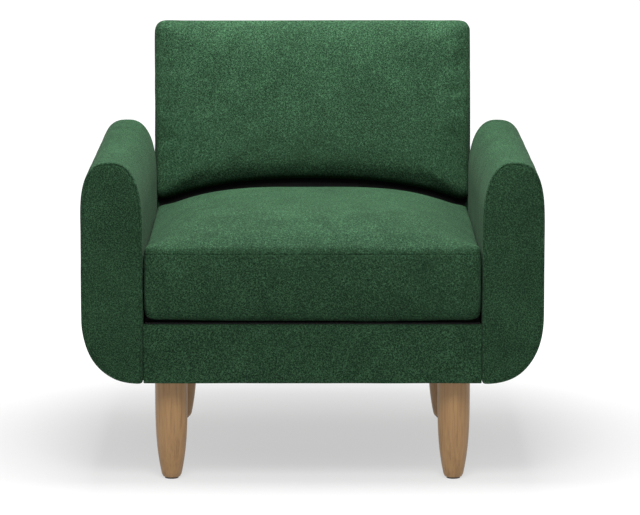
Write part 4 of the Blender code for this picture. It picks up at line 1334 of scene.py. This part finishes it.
@dataclass
class DustCover:
    """The thin black cover stapled under the seat box."""

    wardrobe: Wardrobe
    sag: float = 0.004
    cuts: int = 60
    staple_pitch: float = 0.045
    staple: float = 0.011
    wire: float = 0.0011
    staple_inset: float = 0.008    # of the row from the cover's rim
    staple_corner: float = 0.020   # of each row's ends from the corners

    def build(self) -> None:
        """Stretch the cover and drive its staples."""
        low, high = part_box("dust_cover")
        deselect_all()
        bpy.ops.mesh.primitive_grid_add(x_subdivisions=self.cuts, y_subdivisions=self.cuts, size=1.0)
        piece = bpy.context.object
        piece.name = "dust_cloth"
        middle = (low + high) / 2
        piece.data.transform(Matrix.Translation((middle.x, middle.y, high.z))
                             @ Matrix.Diagonal((high.x - low.x, high.y - low.y, 1.0, 1.0)))
        half = (high - low) / 2
        for vert in piece.data.vertices:
            across = abs(vert.co.x - middle.x) / half.x
            along = abs(vert.co.y - middle.y) / half.y
            room = max(1 - across ** 3, 0.0) * max(1 - along ** 3, 0.0)
            crease = 0.35 * noise.noise(Vector((vert.co.x / 0.05, vert.co.y / 0.22, 0.0)))
            vert.co.z -= self.sag * room * room * (1 + crease)
        apply_modifier(piece, "SOLIDIFY", thickness=0.7 * MM, offset=-1.0)
        shade(piece, 60.0)
        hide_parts("dust_cover")
        dress(piece, self.wardrobe.nonwoven, Body.FRAME)
        self.add_staples(low, high)

    def add_staples(self, low: Vector, high: Vector) -> None:
        """Drive wire staples round the cover's rim.

        Args:
            low: the cover's lowest corner.
            high: the cover's highest corner.
        """
        bm = bmesh.new()
        inset = self.staple_inset
        size = (self.staple, self.wire, 0.6 * MM)
        spots: list[tuple[float, float, bool]] = []
        reach = high - low - Vector((2, 2, 2)) * self.staple_corner
        across, along = int(reach.x / self.staple_pitch), int(reach.y / self.staple_pitch)
        for step in range(across + 1):
            x = low.x + self.staple_corner + reach.x * step / across
            spots += [(x, low.y + inset, True), (x, high.y - inset, True)]
        for step in range(1, along):
            y = low.y + self.staple_corner + reach.y * step / along
            spots += [(low.x + inset, y, False), (high.x - inset, y, False)]
        for number, (x, y, flat) in enumerate(spots):
            turn = math.radians(7 * math.sin(number * 2.4)) + (0.0 if flat else math.pi / 2)
            add_brick(bm, Matrix.Translation((x, y, low.z - 0.2 * MM)) @ Matrix.Rotation(turn, 4, "Z"), size)
        piece = link_mesh("dust_cover_staples", bm)
        dress(piece, self.wardrobe.steel, Body.FRAME)


@dataclass
class CushionZip:
    """The zip along the cushion's rear: two tapes, a row of teeth and a slider with a pull."""

    wardrobe: Wardrobe
    tooth_pitch: float = 0.0032

    def build(self) -> None:
        """Build the tapes, the teeth and the slider."""
        low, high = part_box("seat_cushion_zip")
        self.add_box("zip_tape", low, high, 0.5 * MM, self.wardrobe.tape, Body.CUSHION)
        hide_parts("seat_cushion_zip")
        self.add_teeth(low, high)
        low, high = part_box("zip_slider")
        self.add_box("zip_pull", low, high, 1.1 * MM, self.wardrobe.steel, Body.SLIDER)
        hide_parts("zip_slider")

    def add_box(self, name: str, low: Vector, high: Vector, round_off: float, material: bpy.types.Material,
                body: Body) -> None:
        """Add one rounded block between two corners.

        Args:
            name: the piece's name.
            low: its lowest corner.
            high: its highest corner.
            round_off: its edges' radius.
            material: its finish.
            body: the body that it rides on.
        """
        piece = make_block(name, low, high)
        apply_modifier(piece, "BEVEL", width=round_off, segments=3)
        shade(piece, 40.0)
        dress(piece, material, body)

    def add_teeth(self, low: Vector, high: Vector) -> None:
        """Add the row of moulded teeth over the tapes' meeting line."""
        bm = bmesh.new()
        count = int((high.x - low.x) / self.tooth_pitch)
        size = (self.tooth_pitch * 0.55, 0.4 * MM, 4.2 * MM)
        for step in range(count):
            x = low.x + (high.x - low.x) * (step + 0.5) / count
            z = (low.z + high.z) / 2 + (0.35 * MM if step % 2 else -0.35 * MM)
            add_brick(bm, Matrix.Translation((x, high.y, z)), size)
        piece = link_mesh("zip_teeth", bm)
        dress(piece, self.wardrobe.nylon, Body.CUSHION)


@dataclass
class InnerFrame:
    """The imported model's own hidden pieces, kept in shape and given their materials."""

    wardrobe: Wardrobe

    def build(self) -> None:
        """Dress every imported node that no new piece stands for."""
        finishes = {"frame_wood": self.wardrobe.pine, "foam": self.wardrobe.foam, "felt": self.wardrobe.felt,
                    "black_cloth": self.wardrobe.platform, "zinc_steel": self.wardrobe.steel}
        for part in frame["record"]["subparts"]:
            node = frame["nodes"][part["node"]]
            material = finishes.get(part["material_slot"])
            if material and not node.hide_render:
                for index in range(len(node.data.materials)):
                    node.data.materials[index] = material
                LOG.info("%s: dressed in %s", node.name, material.name)


def main() -> None:
    """Build the studio, then every part of the chair in order."""
    logging.basicConfig(level=logging.INFO, format="%(name)s: %(message)s")
    Studio().build()
    wardrobe = Wardrobe()
    for side in Side:
        Arm(side, wardrobe).build()
    BackRest(wardrobe).build()
    FrontBorder(wardrobe).build()
    SeatCushion(wardrobe).build()
    for place in ("front_left", "front_right", "rear_left", "rear_right"):
        Leg(place, wardrobe).build()
    SeatDeck(wardrobe).build()
    DustCover(wardrobe).build()
    CushionZip(wardrobe).build()
    InnerFrame(wardrobe).build()


if __name__ == "__main__":
    main()
